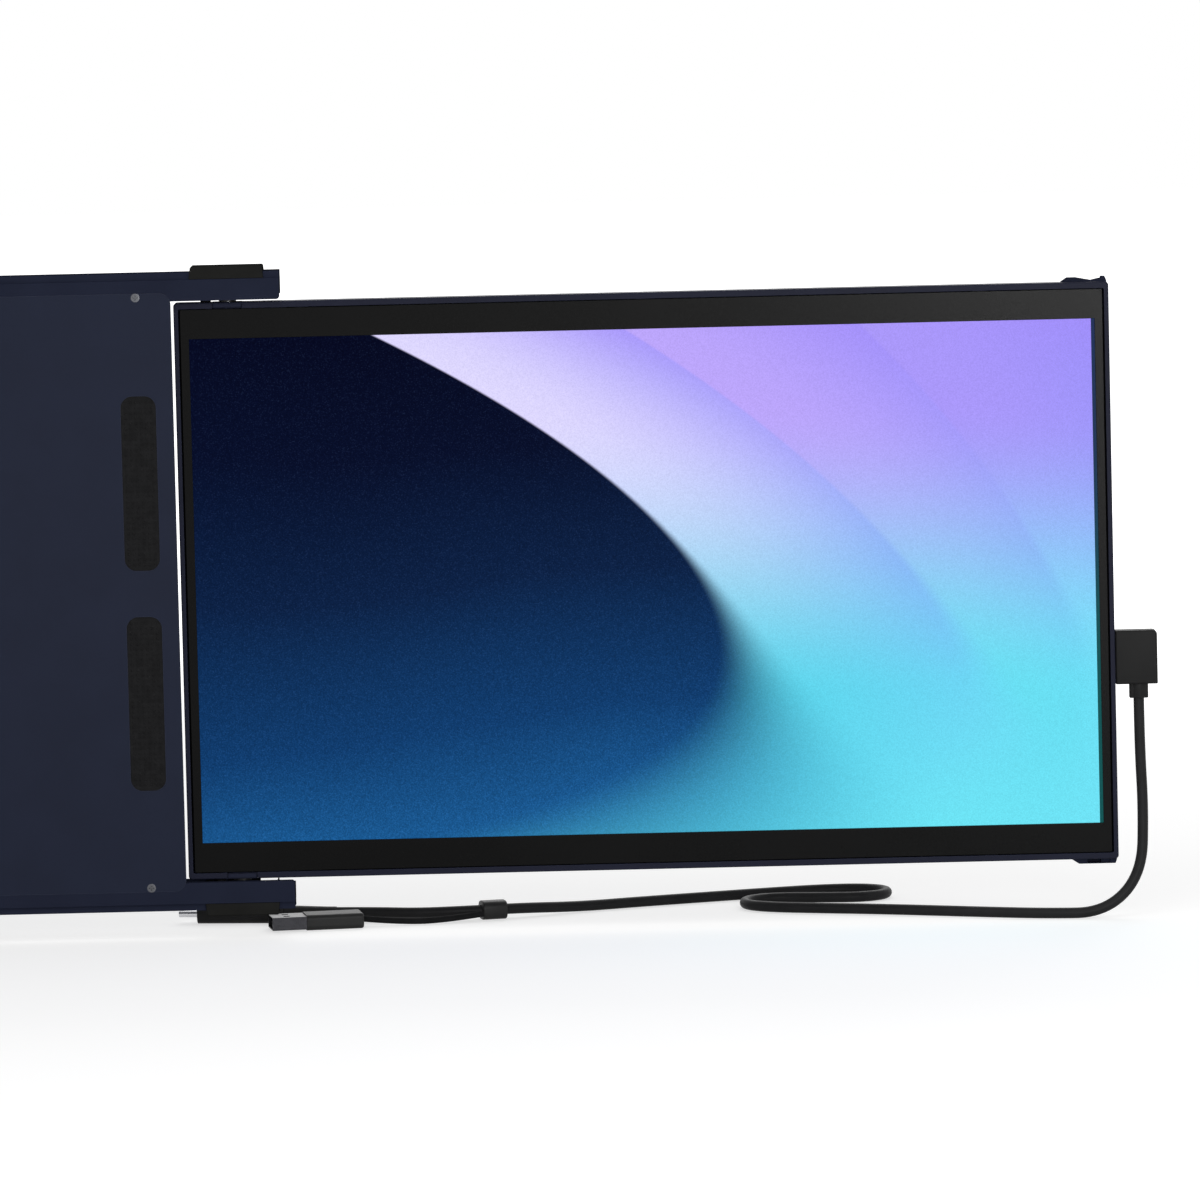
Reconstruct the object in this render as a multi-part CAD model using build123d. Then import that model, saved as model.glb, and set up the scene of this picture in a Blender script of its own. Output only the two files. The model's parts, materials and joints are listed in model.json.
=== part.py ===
from build123d import *
import math
import os

# Laptop screen extender: a slim case that sticks to the back of a laptop lid,
# and a portable screen that slides out of it on two rails and swings on two pins.
# Millimetres. +X is the way the screen slides out, -Y faces the user, +Z is up.
# The origin is the centre of the case's front face, which lies on the lid.

# ---- case -------------------------------------------------------------------
CASE_W = 320.0
RAIL_H = 9.7
CASE_T = 13.0
PLATE_T = 2.0
FRONT_RAIL_T = 3.8
REAR_RAIL_T = 2.8
BAND_H = 2.4             # height of the narrower band along a rail's outer edge
BAND_SET_BACK = 0.9      # how far the band stands back from the rail's faces
PLATE_TONGUE = 3.0       # how far the plate laps behind each rail's edge
PLATE_CORNER_R = 4.0
END_BLOCK_L = 4.8
END_BLOCK_LIFT = 1.7     # open mouth under an end block, for the corner guides
BUMPER_T = 0.6
MAGNET_SIZE = (44.0, 14.0, 1.3)
MAGNET_FROM_END = 30.0   # plate's end to a magnet's centre
MAGNET_FROM_RAIL = 26.0
PAD_SIZE = (12.0, 60.0, 0.5)
PAD_FROM_MIDDLE = 8.0
FELT_H = 8.0
FELT_T = 0.3
FELT_END_GAP = 30.0
SCREW_FROM_END = 12.0    # plate's end to its first screw
PLATE_SCREW_L = 3.2
END_SCREW_L = 10.4
FIT = 0.05               # gap between faces that are assembled together
RUN = 0.1                # gap between faces that slide on each other

# ---- screen -----------------------------------------------------------------
ACTIVE_W = 309.4         # a 14.0 inch panel, 16:9
ACTIVE_H = 174.0
BORDER_INNER = 5.1       # picture to the screen's inner edge
BORDER_OUTER = 6.2       # picture to the screen's outer edge
BORDER_LONG = 12.5       # picture to the screen's upper and lower edges
PICTURE_RIM = 1.2        # dark strip of the panel that shows beside the picture
SCREEN_T = 9.0
SCREEN_Y = 2.5           # front face of the screen
COVER_T = 2.0
COVER_FLOOR = 1.2
COVER_INSET = 0.2
COVER_RIM = 2.6
RIB_T = 1.2
RIB_H = 0.7
RIB_SPACING = 64.0
RIB_END_GAP = 17.0
VENT_L = 16.0
VENT_H = 1.4
VENT_PITCH = 3.2
VENT_COUNT = 8
VENT_INSET = 1.0         # vents' middle to the driver board's middle
VENT_FROM_PORT = 6.0
WALL_LONG = 2.1          # the frame's upper and lower walls
WALL_END = 1.6           # its end walls
CORNER_R = 1.2
BEZEL_SET_BACK = 0.4
BEZEL_T = 0.9
GROOVE_LONG = 0.25       # open groove between bezel and wall, along the long edges
GROOVE_END = 0.6         # and at the ends
GLASS_T = 1.2
GLASS_LAP = 4.0          # how far the panel reaches past the picture, above and below
BACKLIGHT_T = 2.2
BACKLIGHT_PORT_GAP = 1.5
BOSS_FROM_END = 44.0
BOSS_D = 4.6
COVER_SCREW_L = 5.0
PIVOT_INSET = 18.5       # pivot to the screen's inner edge
PIVOT_FROM_END = 18.0    # pivot to the case's end, with the screen fully out
FORK_CLEARANCE = 0.8     # pivot side of the plate to the screen's inner edge
EDGE_GAP = 0.8           # screen's long edges to the rails

# ---- hinge and carriage -----------------------------------------------------
PIN_D = 4.0
PIN_RUN = 0.05           # radial running gap of the pin in its leaf
PIN_IN_LEAF = 6.0
PIN_IN_BLOCK = 5.0
LEAF_L = 10.3
LEAF_DEPTH = 7.2
LEAF_FLOOR = 1.0         # what the frame keeps under a leaf
LEAF_SET_BACK = 0.25     # leaf's front behind the frame's lip
FOOT_L = 14.0
FOOT_T = 3.0
FOOT_H = 4.9
WASHER_D = 6.0
WASHER_T = 0.6
SHOE_L = 25.5
SHOE_RISE = 2.0          # how far the shoe stands above the rail
SHOE_SLOPE = 0.8
BLOCK_L = 25.0
BLOCK_SCREW_PITCH = 15.0
BLOCK_RELIEF = 1.6       # hollows in the block's underside, either side of the pin
NUB_D = 3.6              # the anti-tilt nub beside the pin

# ---- corner guides ----------------------------------------------------------
GUIDE_T = 4.6
GUIDE_RISE = 1.8
GUIDE_L = 15.7
GUIDE_SEAT = 1.5
GUIDE_END_GAP = 0.5

# ---- port, button and board -------------------------------------------------
PORT_Z = -30.1
PORT_W = 8.94
PORT_H = 3.26
PORT_DEPTH = 7.3
PORT_WALL = 0.3
TONGUE_T = 0.7
BUTTON_Z = 12.0
BUTTON_L = 10.0
BUTTON_H = 2.6
BUTTON_TRAVEL = 0.4
BUTTON_GAP = 0.15
BUTTON_FLANGE = 0.8
BOARD_L = 26.0
BOARD_H = 96.0
BOARD_T = 0.8
CAN_T = 0.9

# ---- cord and plugs ---------------------------------------------------------
TABLE_Z = -120.0         # the surface that the cord lies on
CABLE_D = 3.7
ELBOW_W = 14.5
ELBOW_H = 18.6
ELBOW_T = 6.6
ELBOW_GAP = 0.15         # elbow's face to the screen's edge
ELBOW_CORNER_R = 1.4
ELBOW_EDGE_R = 0.35
SLEEVE_OFFSET = 0.7      # sleeve's centre past the elbow's centre
SLEEVE_W = 6.5
SLEEVE_T = 5.6
SLEEVE_L = 4.9
COLLAR_L = 8.7
COLLAR_W = 8.0
COLLAR_H = 6.6
PLUG_L = 30.0
PLUG_W = 9.6
PLUG_H = 6.9
RELIEF_L = 19.0
RELIEF_D = 5.0
ADAPTER_L = 20.0
ADAPTER_W = 13.0
ADAPTER_H = 5.4
ADAPTER_SLANT = 0.17     # how far the adapter turns from the case's length
USB_A_W = 12.0
USB_A_H = 4.5
USB_A_L = 12.0
STRAP_D = 2.2

# ---- fasteners --------------------------------------------------------------
SCREW_D = 1.6
SCREW_HEAD_D = 3.0
SCREW_HEAD_T = 0.7

# ---- places worked out from the sizes ---------------------------------------
PIVOT_X = CASE_W / 2 - PIVOT_FROM_END
PIVOT_Y = SCREEN_Y + SCREEN_T / 2
SCREEN_W = BORDER_INNER + ACTIVE_W + BORDER_OUTER
SCREEN_H = ACTIVE_H + 2 * BORDER_LONG
SCREEN_X0 = PIVOT_X - PIVOT_INSET
SCREEN_X1 = SCREEN_X0 + SCREEN_W
SCREEN_TOP = SCREEN_H / 2
RAIL_Z0 = SCREEN_TOP + EDGE_GAP
RAIL_Z1 = RAIL_Z0 + RAIL_H
PLATE_X = SCREEN_X0 - FORK_CLEARANCE
SLOT_Y0 = FRONT_RAIL_T
SLOT_Y1 = CASE_T - REAR_RAIL_T
FRAME_Y1 = SCREEN_Y + SCREEN_T - COVER_T
COVER_FLOOR_Y = SCREEN_Y + SCREEN_T - COVER_FLOOR
BEZEL_Y0 = SCREEN_Y + BEZEL_SET_BACK
LEAF_T = 2 * (PIVOT_Y - BEZEL_Y0 - BEZEL_T - RUN)
BLOCK_Z0 = SCREEN_TOP + WASHER_T + 2 * RUN
GLASS_Y0 = BEZEL_Y0 + BEZEL_T + FIT
BACKLIGHT_Y0 = GLASS_Y0 + GLASS_T + FIT
ACTIVE_X0 = SCREEN_X0 + BORDER_INNER
BOARD_Y0 = PIVOT_Y + PORT_H / 2 + FIT
BOARD_X1 = SCREEN_X1 - WALL_END - FIT
GLASS_H = ACTIVE_H + 2 * GLASS_LAP
ELBOW_X0 = SCREEN_X1 + ELBOW_GAP
CORD_X = ELBOW_X0 + ELBOW_W / 2 + SLEEVE_OFFSET
ELBOW_Z0 = PORT_Z - ELBOW_H / 2

# The cord's route: down from the elbow plug, along the table in an S, and into
# the laptop plug. Chosen by hand.
CORD_POINTS = [
    (452.3, 7.0, -44.3),
    (452.3, 7.0, -61.0),
    (453.2, 6.9, -83.0),
    (452.2, 5.5, -105.6),
    (439.2, 2.4, -118.1),
    (419.0, 4.0, -118.1),
    (400.0, 11.0, -118.1),
    (380.0, 19.5, -118.1),
    (360.0, 27.5, -118.1),
    (341.0, 33.5, -118.1),
    (324.0, 39.5, -118.1),
    (315.5, 48.0, -118.1),
    (315.8, 59.5, -118.1),
    (325.5, 66.5, -118.1),
    (342.0, 64.0, -118.1),
    (356.5, 62.0, -118.1),
    (365.8, 69.0, -118.1),
    (366.3, 80.5, -118.1),
    (357.5, 87.5, -118.1),
    (342.0, 87.0, -118.1),
    (323.0, 80.6, -118.1),
    (302.0, 72.5, -118.1),
    (279.0, 63.5, -118.1),
    (257.5, 53.5, -118.1),
    (238.0, 42.0, -116.7),
    (217.0, 36.5, -116.7),
    (201.0, 36.4, -117.0),
    (187.0, 38.0, -116.55),
    (173.0, 40.2, -116.55),
]
ARC_SHARE = 0.45         # part of the shorter run that an arc may take
COLLAR_RUN = 24          # the run of the cord that the collar sits on, counted from its first point
STRAP_POINTS = [(224.0, 34.4, -117.5), (211.0, 29.0, -118.7), (196.0, 26.6, -118.7), (182.0, 26.8, -117.3)]
STRAP_RADIUS = 14.0


def box(x0, x1, y0, y1, z0, z1):
    """A block given by its lowest and highest corners."""
    return Pos((x0 + x1) / 2, (y0 + y1) / 2, (z0 + z1) / 2) * Box(x1 - x0, y1 - y0, z1 - z0)


def plate(width, height, radius, y0, y1, x=0.0, z=0.0):
    """An upright plate with rounded corners, from y0 to y1."""
    face = Plane.XZ.offset(-y0) * Pos(x, z) * RectangleRounded(width, height, radius)
    return extrude(face, -(y1 - y0))


def disc(diameter, y0, y1, x, z):
    """A short round bar along Y."""
    return Pos(x, (y0 + y1) / 2, z) * Rot(90, 0, 0) * Cylinder(diameter / 2, y1 - y0)


def post(diameter, z0, z1, x, y):
    """A round bar along Z."""
    return Pos(x, y, (z0 + z1) / 2) * Cylinder(diameter / 2, z1 - z0)


def below(shape):
    """The same piece for the bottom rail: a mirror image in the XY plane."""
    return mirror(shape, about=Plane.XY)


def group(solids):
    """Loose solids kept as one node."""
    return Compound(children=list(solids))


def countersunk(x, y, z, length, face=1):
    """A countersunk screw along Y, its flat head at y and its tip further in."""
    head = Pos(x, y + face * SCREW_HEAD_T / 2, z) * Rot(-90 * face, 0, 0) * Cone(
        SCREW_HEAD_D / 2, SCREW_D / 2, SCREW_HEAD_T
    )
    tip = y + face * length
    return head + disc(SCREW_D, min(y, tip), max(y, tip), x, z)


def screw_seat(x, y, z, length, face=1):
    """The hole that takes a countersunk screw, a little larger than the screw."""
    head = Pos(x, y + face * SCREW_HEAD_T / 2, z) * Rot(-90 * face, 0, 0) * Cone(
        SCREW_HEAD_D / 2 + FIT, SCREW_D / 2 + FIT, SCREW_HEAD_T
    )
    tip = y + face * (length + FIT)
    return head + disc(SCREW_D + 2 * FIT, min(y, tip), max(y, tip), x, z)


# ---- case -------------------------------------------------------------------
PLATE_SCREW_X = [sx * (PLATE_X - inset) for sx in (-1, 1) for inset in (SCREW_FROM_END, 2 * PLATE_X / 3)]
PLATE_SCREW_Z = RAIL_Z0 + PLATE_TONGUE / 2
END_SCREW_X = CASE_W / 2 - END_BLOCK_L / 2
MAGNET_X = PLATE_X - MAGNET_FROM_END
MAGNET_Z = RAIL_Z0 - MAGNET_FROM_RAIL


def front_plate():
    """The web between the two rails, with pockets for magnets and grip pads."""
    body = plate(2 * PLATE_X, 2 * (RAIL_Z0 + PLATE_TONGUE - FIT), PLATE_CORNER_R, 0, PLATE_T)
    body -= magnets(FIT)
    body -= pads(FIT)
    for x in PLATE_SCREW_X:
        for z in (-PLATE_SCREW_Z, PLATE_SCREW_Z):
            body -= screw_seat(x, 0, z, PLATE_SCREW_L)
    return body


def magnets(grow=0.0):
    """Four bar magnets let into the plate from behind."""
    length, height, depth = MAGNET_SIZE
    return group(
        box(sx * MAGNET_X - length / 2 - grow, sx * MAGNET_X + length / 2 + grow,
            PLATE_T - depth - grow, PLATE_T,
            sz * MAGNET_Z - height / 2 - grow, sz * MAGNET_Z + height / 2 + grow)
        for sx in (-1, 1) for sz in (-1, 1)
    )


def pads(grow=0.0):
    """Four soft grip pads, flush with the face that lies on the lid."""
    width, height, depth = PAD_SIZE
    half_x = PLATE_X - width
    half_z = height / 2 + PAD_FROM_MIDDLE
    return group(
        plate(width + 2 * grow, height + 2 * grow, width / 3, 0, depth + grow, sx * half_x, sz * half_z)
        for sx in (-1, 1) for sz in (-1, 1)
    )


def felt_strips():
    """Two thin felt strips on the plate that the stowed screen glides past."""
    return group(
        plate(2 * (PLATE_X - FELT_END_GAP), FELT_H, FELT_H / 4, PLATE_T, PLATE_T + FELT_T, 0,
              sz * (RAIL_Z0 - FELT_H))
        for sz in (-1, 1)
    )


def plate_screws():
    """Eight screws that hold the plate's tongues to the front rails."""
    return group(
        countersunk(x, 0, z, PLATE_SCREW_L)
        for x in PLATE_SCREW_X for z in (-PLATE_SCREW_Z, PLATE_SCREW_Z)
    )


def rail_profile(y0, y1, band_y0, band_y1):
    """Section of a rail's wall in YZ, with the set-back band at its outer edge."""
    step = RAIL_Z1 - BAND_H
    points = [(y0, RAIL_Z0), (y1, RAIL_Z0), (y1, step), (band_y1, step), (band_y1, RAIL_Z1),
              (band_y0, RAIL_Z1), (band_y0, step), (y0, step)]
    unique = [p for i, p in enumerate(points) if p != points[i - 1]]
    face = Plane.YZ.offset(-CASE_W / 2) * make_face(Polyline(*unique, close=True))
    return extrude(face, CASE_W)


def top_front_rail():
    """The wall of the top rail on the lid's side; its ends are the fork's arms."""
    body = rail_profile(0, SLOT_Y0, BAND_SET_BACK, SLOT_Y0)
    body = fillet(body.edges().filter_by(Axis.Y).sort_by(Axis.Z)[:2], 1.0)
    body -= plate(2 * PLATE_X + 2 * FIT, 2 * (RAIL_Z0 + PLATE_TONGUE), PLATE_CORNER_R, 0, PLATE_T + FIT)
    for x in PLATE_SCREW_X:
        body -= screw_seat(x, 0, PLATE_SCREW_Z, PLATE_SCREW_L)
    for sx in (-1, 1):
        body -= disc(SCREW_D + 2 * FIT, SLOT_Y0 - 1.6, SLOT_Y0, sx * END_SCREW_X, end_screw_z())
    return body


def end_screw_z():
    """Height of the screw through a rail's end block."""
    return (RAIL_Z0 + END_BLOCK_LIFT + RAIL_Z1 - BAND_H) / 2 + 0.6


def top_rear_rail():
    """The rear wall of the top rail, notched where a flipped screen's guides enter."""
    body = rail_profile(SLOT_Y1, CASE_T, SLOT_Y1, CASE_T - BAND_SET_BACK)
    notch = GUIDE_L + 2.5
    for sx in (-1, 1):
        end = sx * CASE_W / 2
        body -= box(min(end, end - sx * notch), max(end, end - sx * notch),
                    SLOT_Y1, CASE_T, RAIL_Z0, RAIL_Z0 + END_BLOCK_LIFT - 0.2)
        body -= screw_seat(sx * END_SCREW_X, CASE_T, end_screw_z(), REAR_RAIL_T, face=-1)
    return body


def end_block(side):
    """The block that ties a rail's two walls at one end; side is -1 or 1."""
    end = side * CASE_W / 2
    inner = end - side * END_BLOCK_L
    body = box(min(end, inner), max(end, inner), SLOT_Y0 + FIT, SLOT_Y1 - FIT,
               RAIL_Z0 + END_BLOCK_LIFT, RAIL_Z1)
    outer_edges = body.edges().filter_by(Axis.Y).group_by(Axis.X)[-1 if side > 0 else 0]
    body = fillet(outer_edges, 0.8)
    return body - disc(SCREW_D + 2 * FIT, SLOT_Y0, SLOT_Y1, side * END_SCREW_X, end_screw_z())


def end_bumpers():
    """Rubber bumpers that the carriage blocks stop against, one on each end block."""
    solids = []
    for side in (-1, 1):
        inner = side * (CASE_W / 2 - END_BLOCK_L)
        face = inner - side * BUMPER_T
        pad = box(min(inner, face), max(inner, face), SLOT_Y0 + 1, SLOT_Y1 - 1,
                  RAIL_Z0 + END_BLOCK_LIFT + 0.3, RAIL_Z1 - BAND_H)
        solids += [pad, below(pad)]
    return group(solids)


def rail_screws():
    """Four screws through the rails' ends and end blocks."""
    solids = []
    for side in (-1, 1):
        screw = countersunk(side * END_SCREW_X, CASE_T, end_screw_z(), END_SCREW_L, face=-1)
        solids += [screw, below(screw)]
    return group(solids)


# ---- carriage ---------------------------------------------------------------
def slider_shoe():
    """The cap that rides on the top rail's band, with a skirt down each face."""
    half = SHOE_L / 2
    top = RAIL_Z1 + SHOE_RISE
    foot = RAIL_Z1 - BAND_H + RUN
    outline = Polyline((-half, foot), (half, foot), (half - SHOE_SLOPE / 2, top - 0.4),
                       (half - SHOE_SLOPE, top), (-half + SHOE_SLOPE, top),
                       (-half + SHOE_SLOPE / 2, top - 0.4), close=True)
    face = Plane.XZ.offset(-FIT) * Pos(PIVOT_X, 0) * make_face(outline)
    body = extrude(face, -(CASE_T - 2 * FIT))
    body -= box(PIVOT_X - SHOE_L, PIVOT_X + SHOE_L, BAND_SET_BACK - RUN, CASE_T - BAND_SET_BACK + RUN,
                0, RAIL_Z1 + RUN)
    body = fillet(body.edges().filter_by(Axis.X).group_by(Axis.Z)[-1], 0.5)
    for sx in (-1, 1):
        x = PIVOT_X + sx * BLOCK_SCREW_PITCH / 2
        body -= post(SCREW_HEAD_D + 2 * FIT, top - SCREW_HEAD_T, top + 1, x, PIVOT_Y)
        body -= post(SCREW_D + 2 * FIT, RAIL_Z1, top, x, PIVOT_Y)
    return body


def carriage_block():
    """The block that runs in the top rail's slot and holds the hinge pin."""
    body = box(PIVOT_X - BLOCK_L / 2, PIVOT_X + BLOCK_L / 2, SLOT_Y0 + RUN, SLOT_Y1 - RUN,
               BLOCK_Z0, RAIL_Z1 + RUN)
    body = chamfer(body.edges().filter_by(Axis.Z), 0.6)
    body -= post(PIN_D + FIT, 0, BLOCK_Z0 + PIN_IN_BLOCK, PIVOT_X, PIVOT_Y)
    for sx in (-1, 1):
        x = PIVOT_X + sx * BLOCK_SCREW_PITCH / 2
        body -= post(SCREW_D + 2 * FIT, RAIL_Z1 - 4, RAIL_Z1 + 1, x, PIVOT_Y)
    for dx in (-BLOCK_L * 0.3, BLOCK_L * 0.36):
        body -= box(PIVOT_X + dx - BLOCK_L * 0.12, PIVOT_X + dx + BLOCK_L * 0.12, SLOT_Y0, SLOT_Y1,
                    0, BLOCK_Z0 + BLOCK_RELIEF)
    nub_x = PIVOT_X - BLOCK_L * 0.3
    return body + post(NUB_D, SCREEN_TOP + RUN, BLOCK_Z0 + BLOCK_RELIEF, nub_x, PIVOT_Y)


def shoe_screws():
    """Two pan-head screws in each shoe."""
    solids = []
    top = RAIL_Z1 + SHOE_RISE
    for sx in (-1, 1):
        x = PIVOT_X + sx * BLOCK_SCREW_PITCH / 2
        screw = post(SCREW_HEAD_D, top - SCREW_HEAD_T, top - 0.15, x, PIVOT_Y)
        screw += post(SCREW_D, RAIL_Z1 - 3.6, top - SCREW_HEAD_T, x, PIVOT_Y)
        solids += [screw, below(screw)]
    return group(solids)


def hinge_pin():
    """The steel pin, held in the carriage block and turning in the screen's leaf."""
    pin = post(PIN_D, SCREEN_TOP - PIN_IN_LEAF, BLOCK_Z0 + PIN_IN_BLOCK - FIT, PIVOT_X, PIVOT_Y)
    return chamfer(pin.edges().filter_by(GeomType.CIRCLE), 0.3)


def friction_washer():
    """The washer that gives the hinge its drag, in the gap between leaf and block."""
    z0 = SCREEN_TOP + RUN
    ring = post(WASHER_D, z0, z0 + WASHER_T, PIVOT_X, PIVOT_Y)
    return ring - post(PIN_D + FIT, z0 - 1, z0 + 2, PIVOT_X, PIVOT_Y)


# ---- screen -----------------------------------------------------------------
SCREEN_CX = (SCREEN_X0 + SCREEN_X1) / 2
BOSS_X = [SCREEN_X0 + BOSS_FROM_END, SCREEN_CX, SCREEN_X1 - BOSS_FROM_END]
BOSS_Z = SCREEN_TOP - WALL_LONG - BOSS_D / 2 + 0.4
BOSS_Y0 = GLASS_Y0 + 0.1


def screen_frame():
    """The navy ring round the screen: walls, lip, screw bosses and hinge pockets."""
    body = plate(SCREEN_W, SCREEN_H, CORNER_R, SCREEN_Y, FRAME_Y1, SCREEN_CX)
    body = chamfer(body.faces().sort_by(Axis.Y)[0].edges(), 0.3)
    body -= plate(SCREEN_W - 2 * WALL_END, SCREEN_H - 2 * WALL_LONG, CORNER_R / 2, SCREEN_Y - 1,
                  FRAME_Y1 + 1, SCREEN_CX)
    for x in BOSS_X:
        for sz in (-1, 1):
            boss = box(x - BOSS_D / 2, x + BOSS_D / 2, BOSS_Y0, FRAME_Y1,
                       BOSS_Z - BOSS_D / 2, SCREEN_TOP - 1)
            boss -= disc(SCREW_D + 2 * FIT, BOSS_Y0 + 1.2, FRAME_Y1, x, BOSS_Z)
            body += boss if sz > 0 else below(boss)
    leaf_boss = box(PIVOT_X - LEAF_L / 2 - 2, PIVOT_X + LEAF_L / 2 + FOOT_L + 1, BOSS_Y0, FRAME_Y1,
                    SCREEN_TOP - LEAF_DEPTH - FIT - LEAF_FLOOR, SCREEN_TOP - 1)
    leaf_boss -= box(PIVOT_X, PIVOT_X + LEAF_L / 2 + FOOT_L + FIT, FRAME_Y1 - FOOT_T - FIT, FRAME_Y1,
                     0, SCREEN_TOP - WALL_LONG)
    guide_pocket = box(SCREEN_X1 - GUIDE_END_GAP - GUIDE_L - FIT, SCREEN_X1 - GUIDE_END_GAP + FIT,
                       PIVOT_Y - GUIDE_T / 2 - FIT, FRAME_Y1, SCREEN_TOP - GUIDE_SEAT - FIT, SCREEN_TOP + 1)
    leaf_pocket = box(PIVOT_X - LEAF_L / 2 - FIT, PIVOT_X + LEAF_L / 2 + FIT, PIVOT_Y - LEAF_T / 2 - FIT,
                      FRAME_Y1, SCREEN_TOP - LEAF_DEPTH - FIT, SCREEN_TOP + 1)
    screw_holes = group(
        disc(SCREW_D + 2 * FIT, BOSS_Y0 + 0.6, FRAME_Y1, x, foot_z()) for x in foot_screw_x()
    )
    lip_notch = box(PIVOT_X - LEAF_L / 2 - FIT, PIVOT_X + LEAF_L / 2 + FIT, SCREEN_Y - 1, PIVOT_Y,
                    SCREEN_TOP - WALL_LONG, SCREEN_TOP + 1)
    for turn in (lambda s: s, below):
        body += turn(leaf_boss)
        body -= turn(lip_notch)
        body -= turn(leaf_pocket)
        body -= turn(guide_pocket)
        body -= turn(screw_holes)
    body -= port_opening(PORT_W + 0.3, PORT_H + 0.3)
    body -= box(SCREEN_X1 - WALL_END - 1, SCREEN_X1 + 1, PIVOT_Y - BUTTON_H / 2 - BUTTON_GAP,
                PIVOT_Y + BUTTON_H / 2 + BUTTON_GAP, BUTTON_Z - BUTTON_L / 2 - BUTTON_GAP,
                BUTTON_Z + BUTTON_L / 2 + BUTTON_GAP)
    return body


def stadium(width, height, x0, x1):
    """A bar along X whose section is a rounded slot standing on end."""
    face = Plane.YZ.offset(x0) * Pos(PIVOT_Y, PORT_Z) * Rot(0, 0, 90) * SlotOverall(width, height)
    return extrude(face, x1 - x0)


def port_opening(width, height):
    """The hole in the frame's outer wall for the port."""
    return stadium(width, height, SCREEN_X1 - WALL_END - 1, SCREEN_X1 + 1)


def back_cover():
    """The cover shell behind the screen, ribbed inside, with vents and countersunk screws."""
    y1 = SCREEN_Y + SCREEN_T
    body = plate(SCREEN_W - 2 * COVER_INSET, SCREEN_H - 2 * COVER_INSET, CORNER_R, FRAME_Y1, y1, SCREEN_CX)
    body = fillet(body.faces().sort_by(Axis.Y)[-1].edges(), 0.9)
    body -= plate(SCREEN_W - 2 * COVER_RIM, SCREEN_H - 2 * COVER_RIM, CORNER_R, FRAME_Y1 - 1,
                  COVER_FLOOR_Y, SCREEN_CX)
    rib_top = SCREEN_TOP - RIB_END_GAP
    ribs = int((BOARD_X1 - BOARD_L - SCREEN_X0) / RIB_SPACING)
    for i in range(1, ribs + 1):
        x = SCREEN_X0 + RIB_SPACING * i
        body += box(x - RIB_T / 2, x + RIB_T / 2, COVER_FLOOR_Y - RIB_H, COVER_FLOOR_Y, -rib_top, rib_top)
    leaf_notch = box(PIVOT_X - LEAF_L / 2 - FIT, PIVOT_X + LEAF_L / 2 + FIT, FRAME_Y1 - 1,
                     PIVOT_Y + LEAF_T / 2 + FIT, SCREEN_TOP - LEAF_DEPTH - FIT, SCREEN_TOP + 1)
    for x in BOSS_X:
        pillar = disc(BOSS_D + 0.6, FRAME_Y1, COVER_FLOOR_Y, x, BOSS_Z)
        pillar &= box(x - BOSS_D, x + BOSS_D, FRAME_Y1, COVER_FLOOR_Y, 0, SCREEN_TOP - COVER_INSET)
        body += pillar
        body += below(pillar)
    for x in BOSS_X:
        for z in (-BOSS_Z, BOSS_Z):
            body -= screw_seat(x, y1, z, COVER_SCREW_L, face=-1)
    body -= leaf_notch
    body -= below(leaf_notch)
    return body - vent_slots()


def vent_slots():
    """The row of slots in the cover that let the driver board's warmth out."""
    x = BOARD_X1 - BOARD_L / 2 - VENT_INSET
    first = PORT_Z + PORT_W + VENT_FROM_PORT
    slot = Plane.XZ.offset(-(SCREEN_Y + SCREEN_T + 1)) * SlotOverall(VENT_L, VENT_H)
    bar = extrude(slot, COVER_FLOOR + 2)
    return group(Pos(x, 0, first + VENT_PITCH * i) * bar for i in range(VENT_COUNT))


def cover_screws():
    """Six countersunk screws that hold the back cover to the frame."""
    return group(
        countersunk(x, SCREEN_Y + SCREEN_T, z, COVER_SCREW_L, face=-1)
        for x in BOSS_X for z in (-BOSS_Z, BOSS_Z)
    )


def front_bezel():
    """The black mask round the picture, set back from the frame's lip."""
    body = plate(SCREEN_W - 2 * (WALL_END + GROOVE_END), SCREEN_H - 2 * (WALL_LONG + GROOVE_LONG),
                 CORNER_R / 2, BEZEL_Y0, BEZEL_Y0 + BEZEL_T, SCREEN_CX)
    window = box(ACTIVE_X0, ACTIVE_X0 + ACTIVE_W + PICTURE_RIM, 0, GLASS_Y0, -ACTIVE_H / 2, ACTIVE_H / 2)
    return body - window


def display_panel():
    """The liquid crystal panel behind the bezel's window."""
    gap = WALL_END + FIT
    return box(SCREEN_X0 + gap, SCREEN_X1 - gap, GLASS_Y0, GLASS_Y0 + GLASS_T, -GLASS_H / 2, GLASS_H / 2)


def backlight():
    """The light guide and its metal tray, clear of the port at the outer edge."""
    x1 = SCREEN_X1 - PORT_DEPTH - BACKLIGHT_PORT_GAP
    body = box(SCREEN_X0 + WALL_END + FIT, x1, BACKLIGHT_Y0, BACKLIGHT_Y0 + BACKLIGHT_T,
               -GLASS_H / 2, GLASS_H / 2)
    return chamfer(body.edges().filter_by(Axis.Y), 1.5)


def driver_board():
    """The circuit board behind the outer end, which carries the port and switch."""
    z0 = PORT_Z - BOARD_H / 2 + 12
    body = box(BOARD_X1 - BOARD_L, BOARD_X1, BOARD_Y0, BOARD_Y0 + BOARD_T, z0, z0 + BOARD_H)
    for z in (z0 + 4, z0 + BOARD_H - 4):
        body -= disc(2.2, BOARD_Y0 - 1, BOARD_Y0 + 2, BOARD_X1 - BOARD_L + 4, z)
    return body


def board_can():
    """The pressed shield over the driver chips, in front of the board."""
    x1 = BOARD_X1 - PORT_DEPTH - 2
    can = box(x1 - 14, x1, BOARD_Y0 - CAN_T, BOARD_Y0, PORT_Z - 18, PORT_Z + 22)
    return can - box(x1 - 13.7, x1 - 0.3, BOARD_Y0 - CAN_T + 0.3, BOARD_Y0, PORT_Z - 17.7, PORT_Z + 21.7)


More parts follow.
